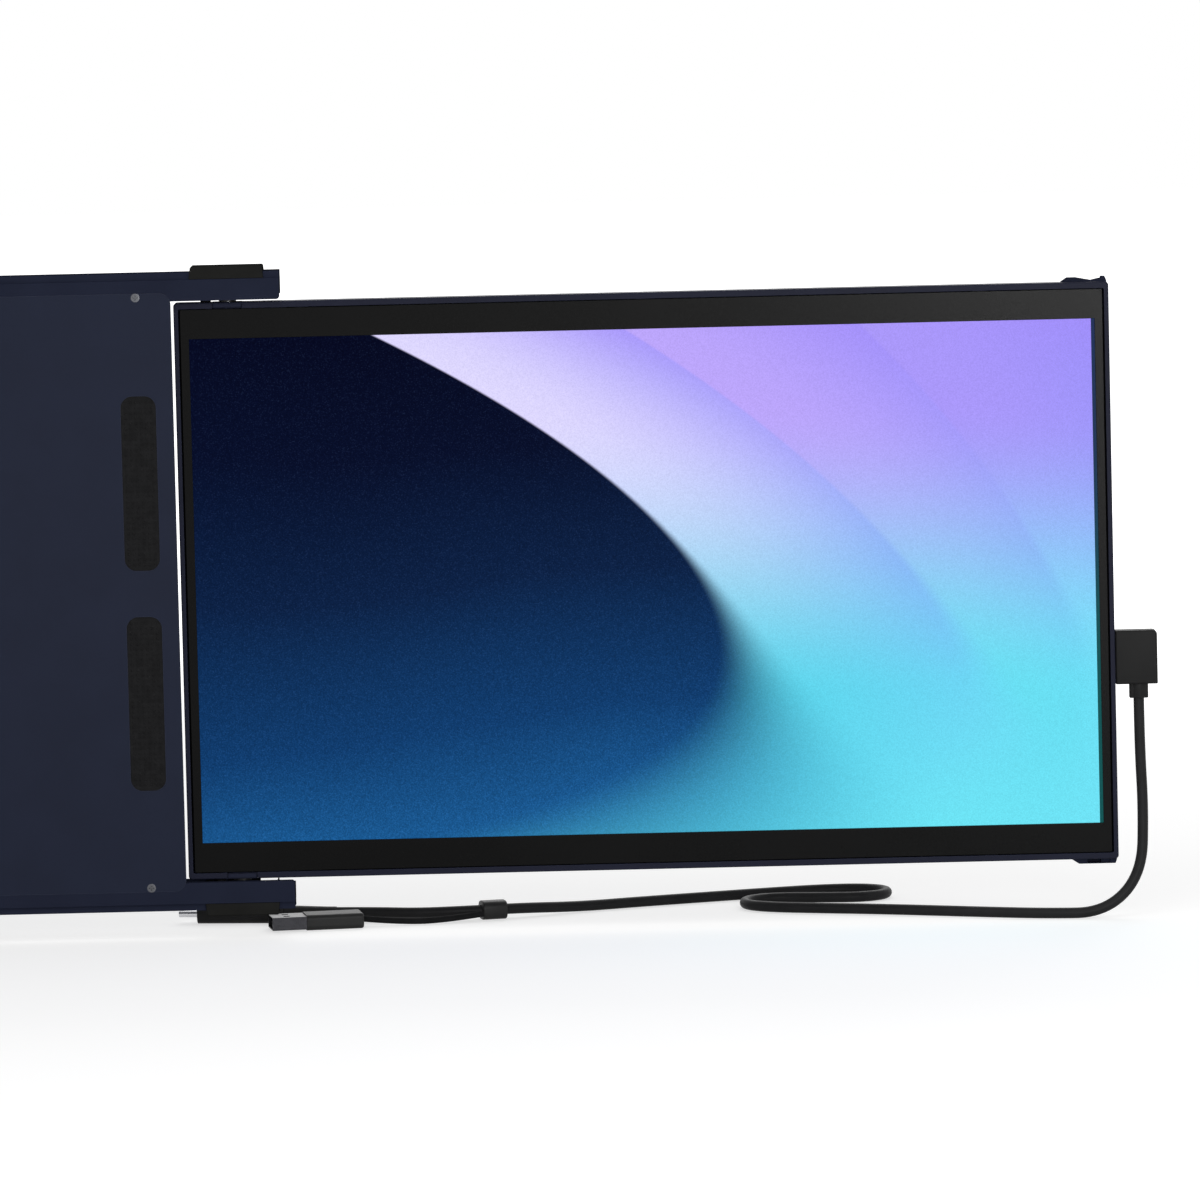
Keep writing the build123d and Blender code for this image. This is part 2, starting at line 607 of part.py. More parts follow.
def panel_ribbon():
    """The flat flexible cable from the board down to the panel's lower edge."""
    x1 = BOARD_X1 - BOARD_L - FIT
    y0 = BACKLIGHT_Y0 + BACKLIGHT_T + FIT
    return box(x1 - 18, x1, y0, y0 + 0.3, PORT_Z - 24, PORT_Z - 6)


def port_shell():
    """The port's drawn steel shell with its tongue."""
    x1 = SCREEN_X1 - 0.2
    x0 = x1 - PORT_DEPTH
    shell = stadium(PORT_W, PORT_H, x0, x1)
    shell -= stadium(PORT_W - 2 * PORT_WALL, PORT_H - 2 * PORT_WALL, x0 + 0.6, x1 + 1)
    tongue = box(x0, x0 + 5.0, PIVOT_Y - TONGUE_T / 2, PIVOT_Y + TONGUE_T / 2, PORT_Z - 3.3, PORT_Z + 3.3)
    return shell + tongue


def menu_button():
    """The key in the outer edge, with a flange that keeps it from falling out."""
    x1 = SCREEN_X1 - FIT
    x0 = SCREEN_X1 - WALL_END - FIT
    cap = box(x0, x1, PIVOT_Y - BUTTON_H / 2, PIVOT_Y + BUTTON_H / 2, BUTTON_Z - BUTTON_L / 2,
              BUTTON_Z + BUTTON_L / 2)
    cap = fillet(cap.edges().filter_by(Axis.X), 0.6)
    cap = fillet(cap.faces().sort_by(Axis.X)[-1].edges(), 0.2)
    return cap + box(x0 - BUTTON_FLANGE, x0, PIVOT_Y - BUTTON_H / 2, PIVOT_Y + BUTTON_H / 2,
                     BUTTON_Z - BUTTON_L / 2 - 1, BUTTON_Z + BUTTON_L / 2 + 1)


def menu_switch():
    """The tact switch on the board, just behind the key's flange."""
    x1 = SCREEN_X1 - WALL_END - BUTTON_FLANGE - BUTTON_TRAVEL - 2 * FIT
    body = box(x1 - 2.4, x1 - 0.5, BOARD_Y0 - 2.4, BOARD_Y0, BUTTON_Z - 2, BUTTON_Z + 2)
    return body + box(x1 - 0.5, x1, BOARD_Y0 - 2.0, BOARD_Y0 - 0.8, BUTTON_Z - 0.8, BUTTON_Z + 0.8)


def foot_screw_x():
    """Places of the two screws through a leaf's foot."""
    start = PIVOT_X + LEAF_L / 2
    return [start + FOOT_L * 0.3, start + FOOT_L * 0.75]


def foot_z():
    """Height of the leaf foot's middle."""
    return SCREEN_TOP - LEAF_DEPTH + FOOT_H / 2


def hinge_leaf():
    """The block let into the screen's top edge; it shows in the lip and has a foot inside."""
    body = box(PIVOT_X - LEAF_L / 2, PIVOT_X + LEAF_L / 2, PIVOT_Y - LEAF_T / 2, PIVOT_Y + LEAF_T / 2,
               SCREEN_TOP - LEAF_DEPTH, SCREEN_TOP)
    body = chamfer(body.edges().filter_by(Axis.Z), 0.4)
    body += box(PIVOT_X - LEAF_L / 2, PIVOT_X + LEAF_L / 2, SCREEN_Y + LEAF_SET_BACK, PIVOT_Y,
                SCREEN_TOP - WALL_LONG + FIT, SCREEN_TOP)
    body += box(PIVOT_X + LEAF_L / 2 - 1, PIVOT_X + LEAF_L / 2 + FOOT_L, FRAME_Y1 - FOOT_T, FRAME_Y1 - FIT,
                SCREEN_TOP - LEAF_DEPTH, SCREEN_TOP - LEAF_DEPTH + FOOT_H)
    body -= post(PIN_D + 2 * PIN_RUN, SCREEN_TOP - PIN_IN_LEAF - 0.3, SCREEN_TOP + 1, PIVOT_X, PIVOT_Y)
    for x in foot_screw_x():
        body -= disc(SCREW_D + 2 * FIT, FRAME_Y1 - FOOT_T - 1, FRAME_Y1 + 1, x, foot_z())
    return body


def leaf_screws():
    """Two screws through each leaf's foot into the frame."""
    solids = []
    for x in foot_screw_x():
        screw = disc(SCREW_D, BOSS_Y0 + 0.8, FRAME_Y1, x, foot_z())
        screw += disc(SCREW_HEAD_D, FRAME_Y1, FRAME_Y1 + 0.6, x, foot_z())
        solids += [screw, below(screw)]
    return group(solids)


def top_corner_guide():
    """The toothed glide at the outer top corner that finds the rail's slot."""
    z = SCREEN_TOP
    end = SCREEN_X1 - GUIDE_END_GAP
    start = end - GUIDE_L
    seat = z - GUIDE_SEAT
    outline = Polyline((start, seat), (end, seat), (end, z + 0.2), (end - 0.6, z + GUIDE_RISE),
                       (end - 2.1, z + GUIDE_RISE), (end - 2.1, z + 1.1), (end - 2.7, z + 1.1),
                       (end - 5.4, z + 0.5), (end - 10.6, z + 1.5), (end - 13.6, z + 1.5), (start, z + 0.1),
                       close=True)
    face = Plane.XZ.offset(-(PIVOT_Y - GUIDE_T / 2)) * make_face(outline)
    return extrude(face, -GUIDE_T)


def bottom_corner_guide():
    """The plain glide at the outer bottom corner, with a relief pocket."""
    z = -SCREEN_TOP
    end = SCREEN_X1 - GUIDE_END_GAP
    start = end - GUIDE_L
    seat = z + GUIDE_SEAT
    low = z - GUIDE_RISE
    outline = Polyline((start, seat), (start, z - 0.1), (start + 2.6, low), (end - 0.5, low),
                       (end, z - 0.4), (end, seat), close=True)
    front = PIVOT_Y - GUIDE_T / 2
    body = extrude(Plane.XZ.offset(-front) * make_face(outline), -GUIDE_T)
    body -= box(end - 10.2, end - 5.6, front - 1, front + GUIDE_T * 0.7, low + 0.35, z)
    body -= box(end - 5.6, end - 2.4, front - 1, front + GUIDE_T * 0.15, low + 0.35, z)
    return body


# ---- cord and what is on it -------------------------------------------------
def elbow_plug():
    """The moulded right-angle body of the plug in the screen's port."""
    body = box(ELBOW_X0, ELBOW_X0 + ELBOW_W, PIVOT_Y - ELBOW_T / 2, PIVOT_Y + ELBOW_T / 2,
               ELBOW_Z0, ELBOW_Z0 + ELBOW_H)
    outer_corners = body.edges().filter_by(Axis.Y).group_by(Axis.X)[-1].sort_by(Axis.Z)
    body = fillet(outer_corners[-1:], ELBOW_CORNER_R)
    rims = body.faces().filter_by(Axis.Y)
    return fillet([edge for rim in rims for edge in rim.edges()], ELBOW_EDGE_R)


def elbow_sleeve():
    """The short neck under the elbow that the cable comes out of."""
    sleeve = Pos(CORD_X, PIVOT_Y, ELBOW_Z0 - SLEEVE_L / 2) * Box(SLEEVE_W, SLEEVE_T, SLEEVE_L)
    sleeve = fillet(sleeve.edges().filter_by(Axis.Z), SLEEVE_T / 4)
    return chamfer(sleeve.faces().sort_by(Axis.Z)[0].edges(), 0.3)


def hollow_shell(width, height, x0, x1, wall):
    """A plug's metal shell: a rounded tube open at its inner end."""
    return stadium(width, height, x0, x1) - stadium(width - 2 * wall, height - 2 * wall, x0 - 1, x1 - 1.2)


def elbow_shell():
    """The metal shell of the elbow plug, in the port."""
    return hollow_shell(8.2, 2.4, SCREEN_X1 - 6.6, ELBOW_X0, 0.25)


def cord_route():
    """The cord's path and the radius of each of its arcs."""
    points = [Vector(*p) for p in CORD_POINTS]
    radii = []
    for before, here, after in zip(points, points[1:], points[2:]):
        first = here - before
        second = after - here
        turn = math.radians(first.get_angle(second))
        radii.append(ARC_SHARE * min(first.length, second.length) / math.tan(turn / 2))
    return points, radii


def tube(points, radii, diameter):
    """A round tube along straight runs joined by tangent arcs."""
    path = FilletPolyline(*points, radius=radii)
    section = Plane(origin=points[0], z_dir=points[1] - points[0]) * Circle(diameter / 2)
    return sweep(section, path=path), path.length


def usb_cable():
    """The cable from the elbow's sleeve to the laptop plug's strain relief."""
    points, radii = cord_route()
    solid, length = tube(points, radii, CABLE_D)
    print("cable length %.1f, volume %.1f, section x length %.1f"
          % (length, solid.volume, math.pi * CABLE_D ** 2 / 4 * length))
    print("cable radii", ", ".join("%.1f" % r for r in radii))
    return solid


def cord_end_frame(extra=0.0):
    """A frame at the cord's laptop end, its Z along the cord, extra mm further on."""
    last = Vector(*CORD_POINTS[-1])
    along = last - Vector(*CORD_POINTS[-2])
    flat = Vector(along.X, along.Y, 0).normalized()
    return Plane(origin=last + flat * extra, x_dir=Vector(0, 0, 1), z_dir=flat)


def laptop_relief():
    """The smooth tapered strain relief behind the laptop plug."""
    return cord_end_frame() * Pos(0, 0, RELIEF_L / 2) * Cone(CABLE_D / 2 + 0.2, RELIEF_D / 2, RELIEF_L)


def laptop_plug():
    """The moulded grip of the plug at the laptop's end."""
    body = Pos(0, 0, PLUG_L / 2) * Box(PLUG_H, PLUG_W, PLUG_L)
    body = fillet(body.edges().filter_by(Axis.Z), 2.4)
    body = fillet(body.faces().sort_by(Axis.Z)[0].edges(), 1.4)
    dimple = Pos(PLUG_H / 2 + 5.1, 0, 7.5) * Rot(90, 0, 0) * Cylinder(5.8, PLUG_W + 2)
    return cord_end_frame(RELIEF_L) * (body - dimple)


def laptop_shell():
    """The metal shell of the laptop plug."""
    shell = extrude(Rot(0, 0, 90) * SlotOverall(8.2, 2.4), 6.6)
    hole = Pos(0, 0, 1.2) * extrude(Rot(0, 0, 90) * SlotOverall(7.7, 1.9), 6.6)
    return cord_end_frame(RELIEF_L + PLUG_L) * (shell - hole)


def collar_place():
    """Where the collar sits, and the way the cord runs there."""
    start = Vector(*CORD_POINTS[COLLAR_RUN])
    end = Vector(*CORD_POINTS[COLLAR_RUN + 1])
    return (start + end) * 0.5, (end - start).normalized()


def tether_collar():
    """The moulded collar that hangs the adapter's strap on the cord."""
    here, along = collar_place()
    frame = Plane(origin=Vector(here.X, here.Y, TABLE_Z + COLLAR_H / 2), x_dir=Vector(0, 0, 1),
                  z_dir=Vector(along.X, along.Y, 0))
    body = Box(COLLAR_H, COLLAR_W, COLLAR_L)
    body = fillet(body.edges().filter_by(Axis.Z), 1.5)
    bore = Cylinder(CABLE_D / 2 + 0.3, COLLAR_L + 2)
    return frame * (body - bore)


def strap_path():
    """The strap's points, from the collar to the adapter."""
    return [Vector(*p) for p in STRAP_POINTS]


def tether_strap():
    """The thin strap between the collar and the adapter."""
    solid, _ = tube(strap_path(), [STRAP_RADIUS] * (len(STRAP_POINTS) - 2), STRAP_D)
    return solid


def adapter_frame():
    """A frame at the adapter's strap end, its Z along the adapter."""
    points = strap_path()
    return Plane(origin=Vector(points[-1].X, points[-1].Y, TABLE_Z + ADAPTER_H / 2), x_dir=Vector(0, 0, 1),
                 z_dir=Vector(-1, -ADAPTER_SLANT, 0))


def adapter_body():
    """The adapter's moulded body, which takes the laptop plug at its strap end."""
    body = Pos(0, 0, ADAPTER_L / 2) * Box(ADAPTER_H, ADAPTER_W, ADAPTER_L)
    body = fillet(body.edges().filter_by(Axis.Z), 1.6)
    body = fillet(body.faces().sort_by(Axis.Z)[0].edges(), 0.8)
    socket = Pos(0, 3.0, -1) * extrude(Rot(0, 0, 90) * SlotOverall(8.6, 2.8), 8)
    return adapter_frame() * (body - Pos(0, -1.6, 0) * socket)


def adapter_shell():
    """The adapter's flat metal plug, with its tongue and two latch windows."""
    shell = Pos(0, 0, USB_A_L / 2) * Box(USB_A_H, USB_A_W, USB_A_L)
    shell -= Pos(0, 0, USB_A_L / 2 + 1) * Box(USB_A_H - 0.6, USB_A_W - 0.6, USB_A_L)
    tongue = Pos(-0.9, 0, USB_A_L / 2 - 0.3) * Box(1.8, USB_A_W - 0.6, USB_A_L - 1.6)
    for sy in (-1, 1):
        shell -= Pos(USB_A_H / 2, sy * 2.6, USB_A_L * 0.55) * Box(1.2, 2.2, 2.2)
    return adapter_frame() * Pos(0, 0, ADAPTER_L) * (shell + tongue)


# ---- write every node -------------------------------------------------------
def pair(name, make):
    """A piece at the top rail and its mirror image at the bottom rail."""
    shape = make()
    return {"top_" + name: shape, "bottom_" + name: below(shape)}


def all_nodes():
    """Every node of the assembly by name."""
    nodes = {
        "front_plate": front_plate(),
        "lid_magnets": magnets(),
        "lid_pads": pads(),
        "felt_strips": felt_strips(),
        "plate_screws": plate_screws(),
        "end_bumpers": end_bumpers(),
        "rail_screws": rail_screws(),
        "shoe_screws": shoe_screws(),
        "screen_frame": screen_frame(),
        "back_cover": back_cover(),
        "cover_screws": cover_screws(),
        "front_bezel": front_bezel(),
        "display_panel": display_panel(),
        "backlight": backlight(),
        "driver_board": driver_board(),
        "board_can": board_can(),
        "panel_ribbon": panel_ribbon(),
        "port_shell": port_shell(),
        "menu_button": menu_button(),
        "menu_switch": menu_switch(),
        "leaf_screws": leaf_screws(),
        "top_corner_guide": top_corner_guide(),
        "bottom_corner_guide": bottom_corner_guide(),
        "elbow_plug": elbow_plug(),
        "elbow_sleeve": elbow_sleeve(),
        "elbow_shell": elbow_shell(),
        "usb_cable": usb_cable(),
        "laptop_relief": laptop_relief(),
        "laptop_plug": laptop_plug(),
        "laptop_shell": laptop_shell(),
        "tether_collar": tether_collar(),
        "tether_strap": tether_strap(),
        "adapter_body": adapter_body(),
        "adapter_shell": adapter_shell(),
    }
    nodes.update(pair("front_rail", top_front_rail))
    nodes.update(pair("rear_rail", top_rear_rail))
    nodes.update(pair("right_end_block", lambda: end_block(1)))
    nodes.update(pair("left_end_block", lambda: end_block(-1)))
    nodes.update(pair("slider_shoe", slider_shoe))
    nodes.update(pair("carriage_block", carriage_block))
    nodes.update(pair("hinge_pin", hinge_pin))
    nodes.update(pair("friction_washer", friction_washer))
    nodes.update(pair("hinge_leaf", hinge_leaf))
    return nodes


os.makedirs("parts", exist_ok=True)
for name, shape in all_nodes().items():
    export_step(shape, "parts/" + name + ".step")
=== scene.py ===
"""Looks of a laptop screen extender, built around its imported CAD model.

Everything is in metres, in the frame of the CAD model: +X to the right, +Y
away from the viewer and +Z up.
"""

import json
import logging
import math
from dataclasses import dataclass
from enum import Enum
from typing import Any, Iterable, Sequence

import bmesh
import bpy
from mathutils import Matrix, Vector


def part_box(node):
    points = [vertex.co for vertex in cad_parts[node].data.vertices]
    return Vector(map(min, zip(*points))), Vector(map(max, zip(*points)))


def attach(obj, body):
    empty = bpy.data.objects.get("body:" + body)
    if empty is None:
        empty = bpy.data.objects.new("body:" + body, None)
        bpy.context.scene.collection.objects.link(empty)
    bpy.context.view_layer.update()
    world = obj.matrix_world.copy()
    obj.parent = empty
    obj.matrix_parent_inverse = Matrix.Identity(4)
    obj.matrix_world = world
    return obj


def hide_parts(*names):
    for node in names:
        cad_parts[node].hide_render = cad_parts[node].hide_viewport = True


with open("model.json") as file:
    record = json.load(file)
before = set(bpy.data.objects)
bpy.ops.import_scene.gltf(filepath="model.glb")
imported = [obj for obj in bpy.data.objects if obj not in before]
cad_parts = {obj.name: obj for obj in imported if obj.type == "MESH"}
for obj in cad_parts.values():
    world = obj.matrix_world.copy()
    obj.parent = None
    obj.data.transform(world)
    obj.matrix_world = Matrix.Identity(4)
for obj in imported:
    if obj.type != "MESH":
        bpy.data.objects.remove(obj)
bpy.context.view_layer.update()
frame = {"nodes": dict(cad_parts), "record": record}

Colour = tuple[int, int, int]
Point = tuple[float, float, float]
Stops = Sequence[tuple[float, Colour]]
Socket = bpy.types.NodeSocket

WHITE = (1, 1, 1, 1)
ORIGIN = (0, 0, 0)
UP = Vector((0, 0, 1))

# The curve between a screen's colours and linear light.
TOE_END = 0.04045
TOE_SLOPE = 12.92
CURVE_LIFT = 0.055
CURVE_POWER = 2.4

# Noise lies about its middle, and its clouds are soft between these levels.
NOISE_MIDDLE = 0.5
CLOUD_RISE = (0.3, 0.7)

# Edges that turn by more than this stay sharp, on moulded pieces and on screws.
MOULD_SHARP = math.radians(40)
SCREW_SHARP = math.radians(35)

log = logging.getLogger("extender")


def linear(colour: Colour) -> tuple[float, float, float, float]:
    """Turns a colour written as 0 to 255 into linear light.

    Args:
        colour: Red, green and blue as they look on a screen.

    Returns:
        Linear red, green, blue and an alpha of 1.
    """
    parts = [c / 255 for c in colour]
    red, green, blue = (
        p / TOE_SLOPE if p < TOE_END else ((p + CURVE_LIFT) / (1 + CURVE_LIFT)) ** CURVE_POWER
        for p in parts
    )
    return (red, green, blue, 1.0)


def linked(name: str, data: Any) -> bpy.types.Object:
    """Makes an object and puts it in the scene.

    Args:
        name: The object's name.
        data: Its mesh, curve, lamp or camera.

    Returns:
        The new object.
    """
    made = bpy.data.objects.new(name, data)
    bpy.context.scene.collection.objects.link(made)
    return made


# ---- node trees -------------------------------------------------------------
@dataclass(frozen=True)
class Value:
    """A number in a node tree; arithmetic on it adds Math nodes."""

    nodes: "Nodes"
    socket: Socket

    def _math(self, operation: str, *values: Any) -> "Value":
        """Adds one Math node.

        Args:
            operation: What the node does.
            values: Its values or numbers, in order.

        Returns:
            The node's result.
        """
        inputs = dict(enumerate(values))
        made = self.nodes.node("ShaderNodeMath", {"operation": operation}, inputs)
        return Value(self.nodes, made.outputs[0])

    def __add__(self, other: Any) -> "Value":
        """Sum."""
        return self._math("ADD", self, other)

    def __radd__(self, other: Any) -> "Value":
        """Sum, with a number first."""
        return self._math("ADD", other, self)

    def __sub__(self, other: Any) -> "Value":
        """Difference."""
        return self._math("SUBTRACT", self, other)

    def __rsub__(self, other: Any) -> "Value":
        """Difference, with a number first."""
        return self._math("SUBTRACT", other, self)

    def __mul__(self, other: Any) -> "Value":
        """Product."""
        return self._math("MULTIPLY", self, other)

    def __rmul__(self, other: Any) -> "Value":
        """Product, with a number first."""
        return self._math("MULTIPLY", other, self)

    def __truediv__(self, other: Any) -> "Value":
        """Quotient."""
        return self._math("DIVIDE", self, other)

    def __rtruediv__(self, other: Any) -> "Value":
        """Quotient, with a number first."""
        return self._math("DIVIDE", other, self)

    def __pow__(self, other: Any) -> "Value":
        """Power."""
        return self._math("POWER", self, other)

    def __rpow__(self, other: Any) -> "Value":
        """Power of a number."""
        return self._math("POWER", other, self)

    def __gt__(self, other: Any) -> "Value":
        """One where this is greater, else zero."""
        return self._math("GREATER_THAN", self, other)

    def __lt__(self, other: Any) -> "Value":
        """One where this is less, else zero."""
        return self._math("LESS_THAN", self, other)

    def distance(self) -> "Value":
        """Size without its sign."""
        return self._math("ABSOLUTE", self)

    def whole(self) -> "Value":
        """The whole number below."""
        return self._math("FLOOR", self)

    def repeat(self) -> "Value":
        """What is left above the whole number below."""
        return self._math("FRACT", self)

    def ease(self, low: float, high: float) -> "Value":
        """Rises smoothly from 0 to 1.

        Args:
            low: Where it is still 0.
            high: Where it is 1.

        Returns:
            The eased value.
        """
        inputs = {"Value": self, "From Min": low, "From Max": high}
        made = self.nodes.node("ShaderNodeMapRange", {"interpolation_type": "SMOOTHSTEP"}, inputs)
        return Value(self.nodes, made.outputs["Result"])


class Nodes:
    """A node tree that is filled by one method."""

    def __init__(self, tree: bpy.types.NodeTree) -> None:
        """Empties the tree.

        Args:
            tree: The node tree to fill.
        """
        self.tree = tree
        tree.nodes.clear()

    def node(
        self, kind: str, settings: dict[str, Any] | None = None, inputs: dict[Any, Any] | None = None
    ) -> bpy.types.Node:
        """Adds a node of any type.

        Args:
            kind: The node's type.
            settings: Its own settings, set first; stops are a ramp's colours.
            inputs: A value, a link or a list of links for each of its sockets.

        Returns:
            The new node.
        """
        made = self.tree.nodes.new(kind)
        for name, value in (settings or {}).items():
            if name == "stops":
                self._stops(made.color_ramp, value)
            else:
                setattr(made, name, value)
        for key, value in (inputs or {}).items():
            for item in value if isinstance(value, list) else [value]:
                item = item.socket if isinstance(item, Value) else item
                if isinstance(item, Socket):
                    self.tree.links.new(item, made.inputs[key])
                else:
                    made.inputs[key].default_value = item
        return made

    @staticmethod
    def _stops(ramp: bpy.types.ColorRamp, stops: Stops) -> None:
        """Fills a colour ramp.

        Args:
            ramp: The ramp, with its first two colours.
            stops: The place and colour of each stop, in order.
        """
        while len(ramp.elements) < len(stops):
            ramp.elements.new(1.0)
        for element, (place, colour) in zip(ramp.elements, stops):
            element.position = place
            element.color = linear(colour)


@dataclass(frozen=True)
class Grain:
    """Soft noise: its patches in a metre, and its levels of finer noise."""

    scale: float
    detail: float = 2.0


class Shader(Nodes):
    """The node tree of one material."""

    edge_samples: int = 4
    edge_turn: float = 0.25
    # The Mix node's sockets for two colours, among those for its other kinds.
    mix_first: int = 6
    mix_second: int = 7
    mix_result: int = 2

    def place(self, stretch: Point = (1, 1, 1), shift: Point = ORIGIN) -> Socket:
        """The point on the piece, scaled and then moved.

        Args:
            stretch: The scale along each axis.
            shift: How far it is moved.

        Returns:
            The coordinates' socket.
        """
        where = self.node("ShaderNodeTexCoord").outputs["Object"]
        if stretch == (1, 1, 1) and shift == ORIGIN:
            return where
        inputs = {"Vector": where, "Scale": stretch, "Location": shift}
        return self.node("ShaderNodeMapping", None, inputs).outputs["Vector"]

    def axes(self) -> tuple[Value, Value, Value]:
        """The point's three coordinates, in metres."""
        parts = self.node("ShaderNodeSeparateXYZ", None, {"Vector": self.place()}).outputs
        return Value(self, parts[0]), Value(self, parts[1]), Value(self, parts[2])

    def noise(self, where: Socket, grain: Grain) -> Value:
        """Soft noise about one half.

        Args:
            where: The coordinates that it reads.
            grain: Its scale and detail.

        Returns:
            The noise, from about 0 to 1.
        """
        inputs = {"Vector": where, "Scale": grain.scale, "Detail": grain.detail}
        return Value(self, self.node("ShaderNodeTexNoise", None, inputs).outputs["Fac"])

    def mix(self, share: Any, first: Any, second: Any) -> Socket:
        """Mixes two colours.

        Args:
            share: How much of the second colour.
            first: A colour's socket or linear value.
            second: The other colour.

        Returns:
            The mixed colour's socket.
        """
        settings = {"data_type": "RGBA", "clamp_factor": True}
        inputs = {0: share, self.mix_first: first, self.mix_second: second}
        return self.node("ShaderNodeMix", settings, inputs).outputs[self.mix_result]

    def blended(self, share: Any, first: bpy.types.Node, second: bpy.types.Node) -> bpy.types.Node:
        """Mixes two shaders.

        Args:
            share: How much of the second shader.
            first: The first shader's node.
            second: The second shader's node.

        Returns:
            The mixed shader's node.
        """
        inputs = {0: share, 1: first.outputs[0], 2: second.outputs[0]}
        return self.node("ShaderNodeMixShader", None, inputs)

    def combine(self, operation: str, *items: Any) -> Socket:
        """Works on whole colours at once.

        Args:
            operation: The Vector Math operation.
            items: Colours' sockets, values or plain vectors, in order.

        Returns:
            The result's socket.
        """
        made = self.node("ShaderNodeVectorMath", {"operation": operation}, dict(enumerate(items)))
        return made.outputs["Vector"]

    def ramp(self, value: Value, stops: Stops) -> Socket:
        """A colour for each value from 0 to 1."""
        return self.node("ShaderNodeValToRGB", {"stops": stops}, {"Fac": value}).outputs["Color"]

    def bump(self, height: Value, strength: float, depth: float) -> Socket:
        """A normal that stands up with the height.

        Args:
            height: The height from 0 to 1.
            strength: How much of it shows.
            depth: The height's full size in metres.

        Returns:
            The normal's socket.
        """
        inputs = {"Height": height, "Strength": strength, "Distance": depth}
        return self.node("ShaderNodeBump", None, inputs).outputs["Normal"]

    def worn_edge(self, width: float) -> Value:
        """One on sharp edges and nothing on flat faces: the mask along which finishes paint edge
        highlights, edge shadows and wear.

        Args:
            width: How far in from the edge it reaches, in metres.

        Returns:
            The share of edge at each point.
        """
        soft = self.node("ShaderNodeBevel", {"samples": self.edge_samples}, {"Radius": width})
        flat = self.node("ShaderNodeNewGeometry")
        normals = {0: soft.outputs["Normal"], 1: flat.outputs["Normal"]}
        facing = self.node("ShaderNodeVectorMath", {"operation": "DOT_PRODUCT"}, normals)
        return (1 - Value(self, facing.outputs["Value"])).ease(0.0, self.edge_turn)

    def surface(self, inputs: dict[str, Any]) -> None:
        """Ends the tree in a plain surface shader with these inputs."""
        made = self.node("ShaderNodeBsdfPrincipled", None, inputs)
        self.node("ShaderNodeOutputMaterial", None, {"Surface": made.outputs["BSDF"]})


# ---- finishes ---------------------------------------------------------------
@dataclass(frozen=True)
class Finish:
    """A surface finish. Colours are written as they look on a screen."""

    name: str
    colour: Colour
    roughness: float = 0.5
    specular: float = 0.2
    patchiness: float = 0.1

    def material(self) -> bpy.types.Material:
        """Makes the material the first time, and gives the same one afterwards.

        Returns:
            The material of this finish.
        """
        made = bpy.data.materials.get(self.name)
        if made is None:
            made = bpy.data.materials.new(self.name)
            made.use_nodes = True
            shader = Shader(made.node_tree)
            shader.surface({"Specular IOR Level": self.specular, **self.sockets(shader)})
        return made

    def sockets(self, shader: Shader) -> dict[str, Any]:
        """What the surface shader takes, besides how much it reflects.

        Args:
            shader: The material's tree.

        Returns:
            A value or a link for each socket.
        """
        raise NotImplementedError

    def tinted(self, shader: Shader, cloud: Value) -> Socket:
        """Makes the finish's colour a little darker and lighter in soft patches.

        Args:
            shader: The material's tree.
            cloud: Where it is darker and where lighter, about one half.

        Returns:
            The colour's socket.
        """
        base = linear(self.colour)[:3]
        low, high = (tuple(c * (1 + way * self.patchiness) for c in base) + (1.0,) for way in (-1, 1))
        return shader.mix(cloud.ease(*CLOUD_RISE), low, high)


@dataclass(frozen=True)
class Grained(Finish):
    """Soft clouds and a fine grain, which tint, roughen and raise the surface."""

    cloud: Grain = Grain(90, 3)
    cloud_rough: float = 0.1
    fine: Grain = Grain(3600)
    fine_rough: float = 0.0
    fine_tint: float = 0.0
    stretch: Point = (1, 1, 1)
    relief: float = 0.3
    depth: float = 0.00003
    metallic: float = 0.0

    def sockets(self, shader: Shader) -> dict[str, Any]:
        """What the surface shader takes, besides how much it reflects.

        Args:
            shader: The material's tree.

        Returns:
            A value or a link for each socket.
        """
        cloud = shader.noise(shader.place(), self.cloud)
        fine = self.fine_grain(shader)
        tint = cloud * (1 - self.fine_tint) + fine * self.fine_tint if self.fine_tint else cloud
        rough = self.roughness + (cloud - NOISE_MIDDLE) * self.cloud_rough
        if self.fine_rough:
            rough = rough + (fine - NOISE_MIDDLE) * self.fine_rough
        return {
            "Base Color": self.tinted(shader, tint),
            "Metallic": self.metallic,
            "Roughness": rough,
            "Normal": shader.bump(fine, self.relief, self.depth),
        }

    def fine_grain(self, shader: Shader) -> Value:
        """The fine grain at each point."""
        return shader.noise(shader.place(self.stretch), self.fine)


@dataclass(frozen=True)
class Edged(Grained):
    """A grained finish whose edges are painted another tone: lighter as a painted highlight along the
    edges, darker as a painted shadow in edges and seams.
    """

    # Lighter than the dark plastics that take it: a painted highlight along their edges.
    edge_colour: Colour = (66, 67, 66)
    edge_share: float = 0.35
    edge_width: float = 0.0003
    edge_gloss: float = 0.0
    chips: Grain | None = None
    chip_share: float = 0.45

    def sockets(self, shader: Shader) -> dict[str, Any]:
        """What the surface shader takes, besides how much it reflects.

        Args:
            shader: The material's tree.

        Returns:
            A value or a link for each socket.
        """
        made = super().sockets(shader)
        edge = shader.worn_edge(self.edge_width)
        if self.chips:
            chips = shader.noise(shader.place(), self.chips)
            edge = edge * ((1 - self.chip_share) + self.chip_share * chips)
        if self.edge_gloss:
            made["Roughness"] = made["Roughness"] - edge * self.edge_gloss
        # A painted highlight where edge_colour is lighter than the finish, a painted shadow where it is
        # darker; chips break it up like wear.
        share = edge * self.edge_share
        made["Base Color"] = shader.mix(share, made["Base Color"], linear(self.edge_colour))
        return made


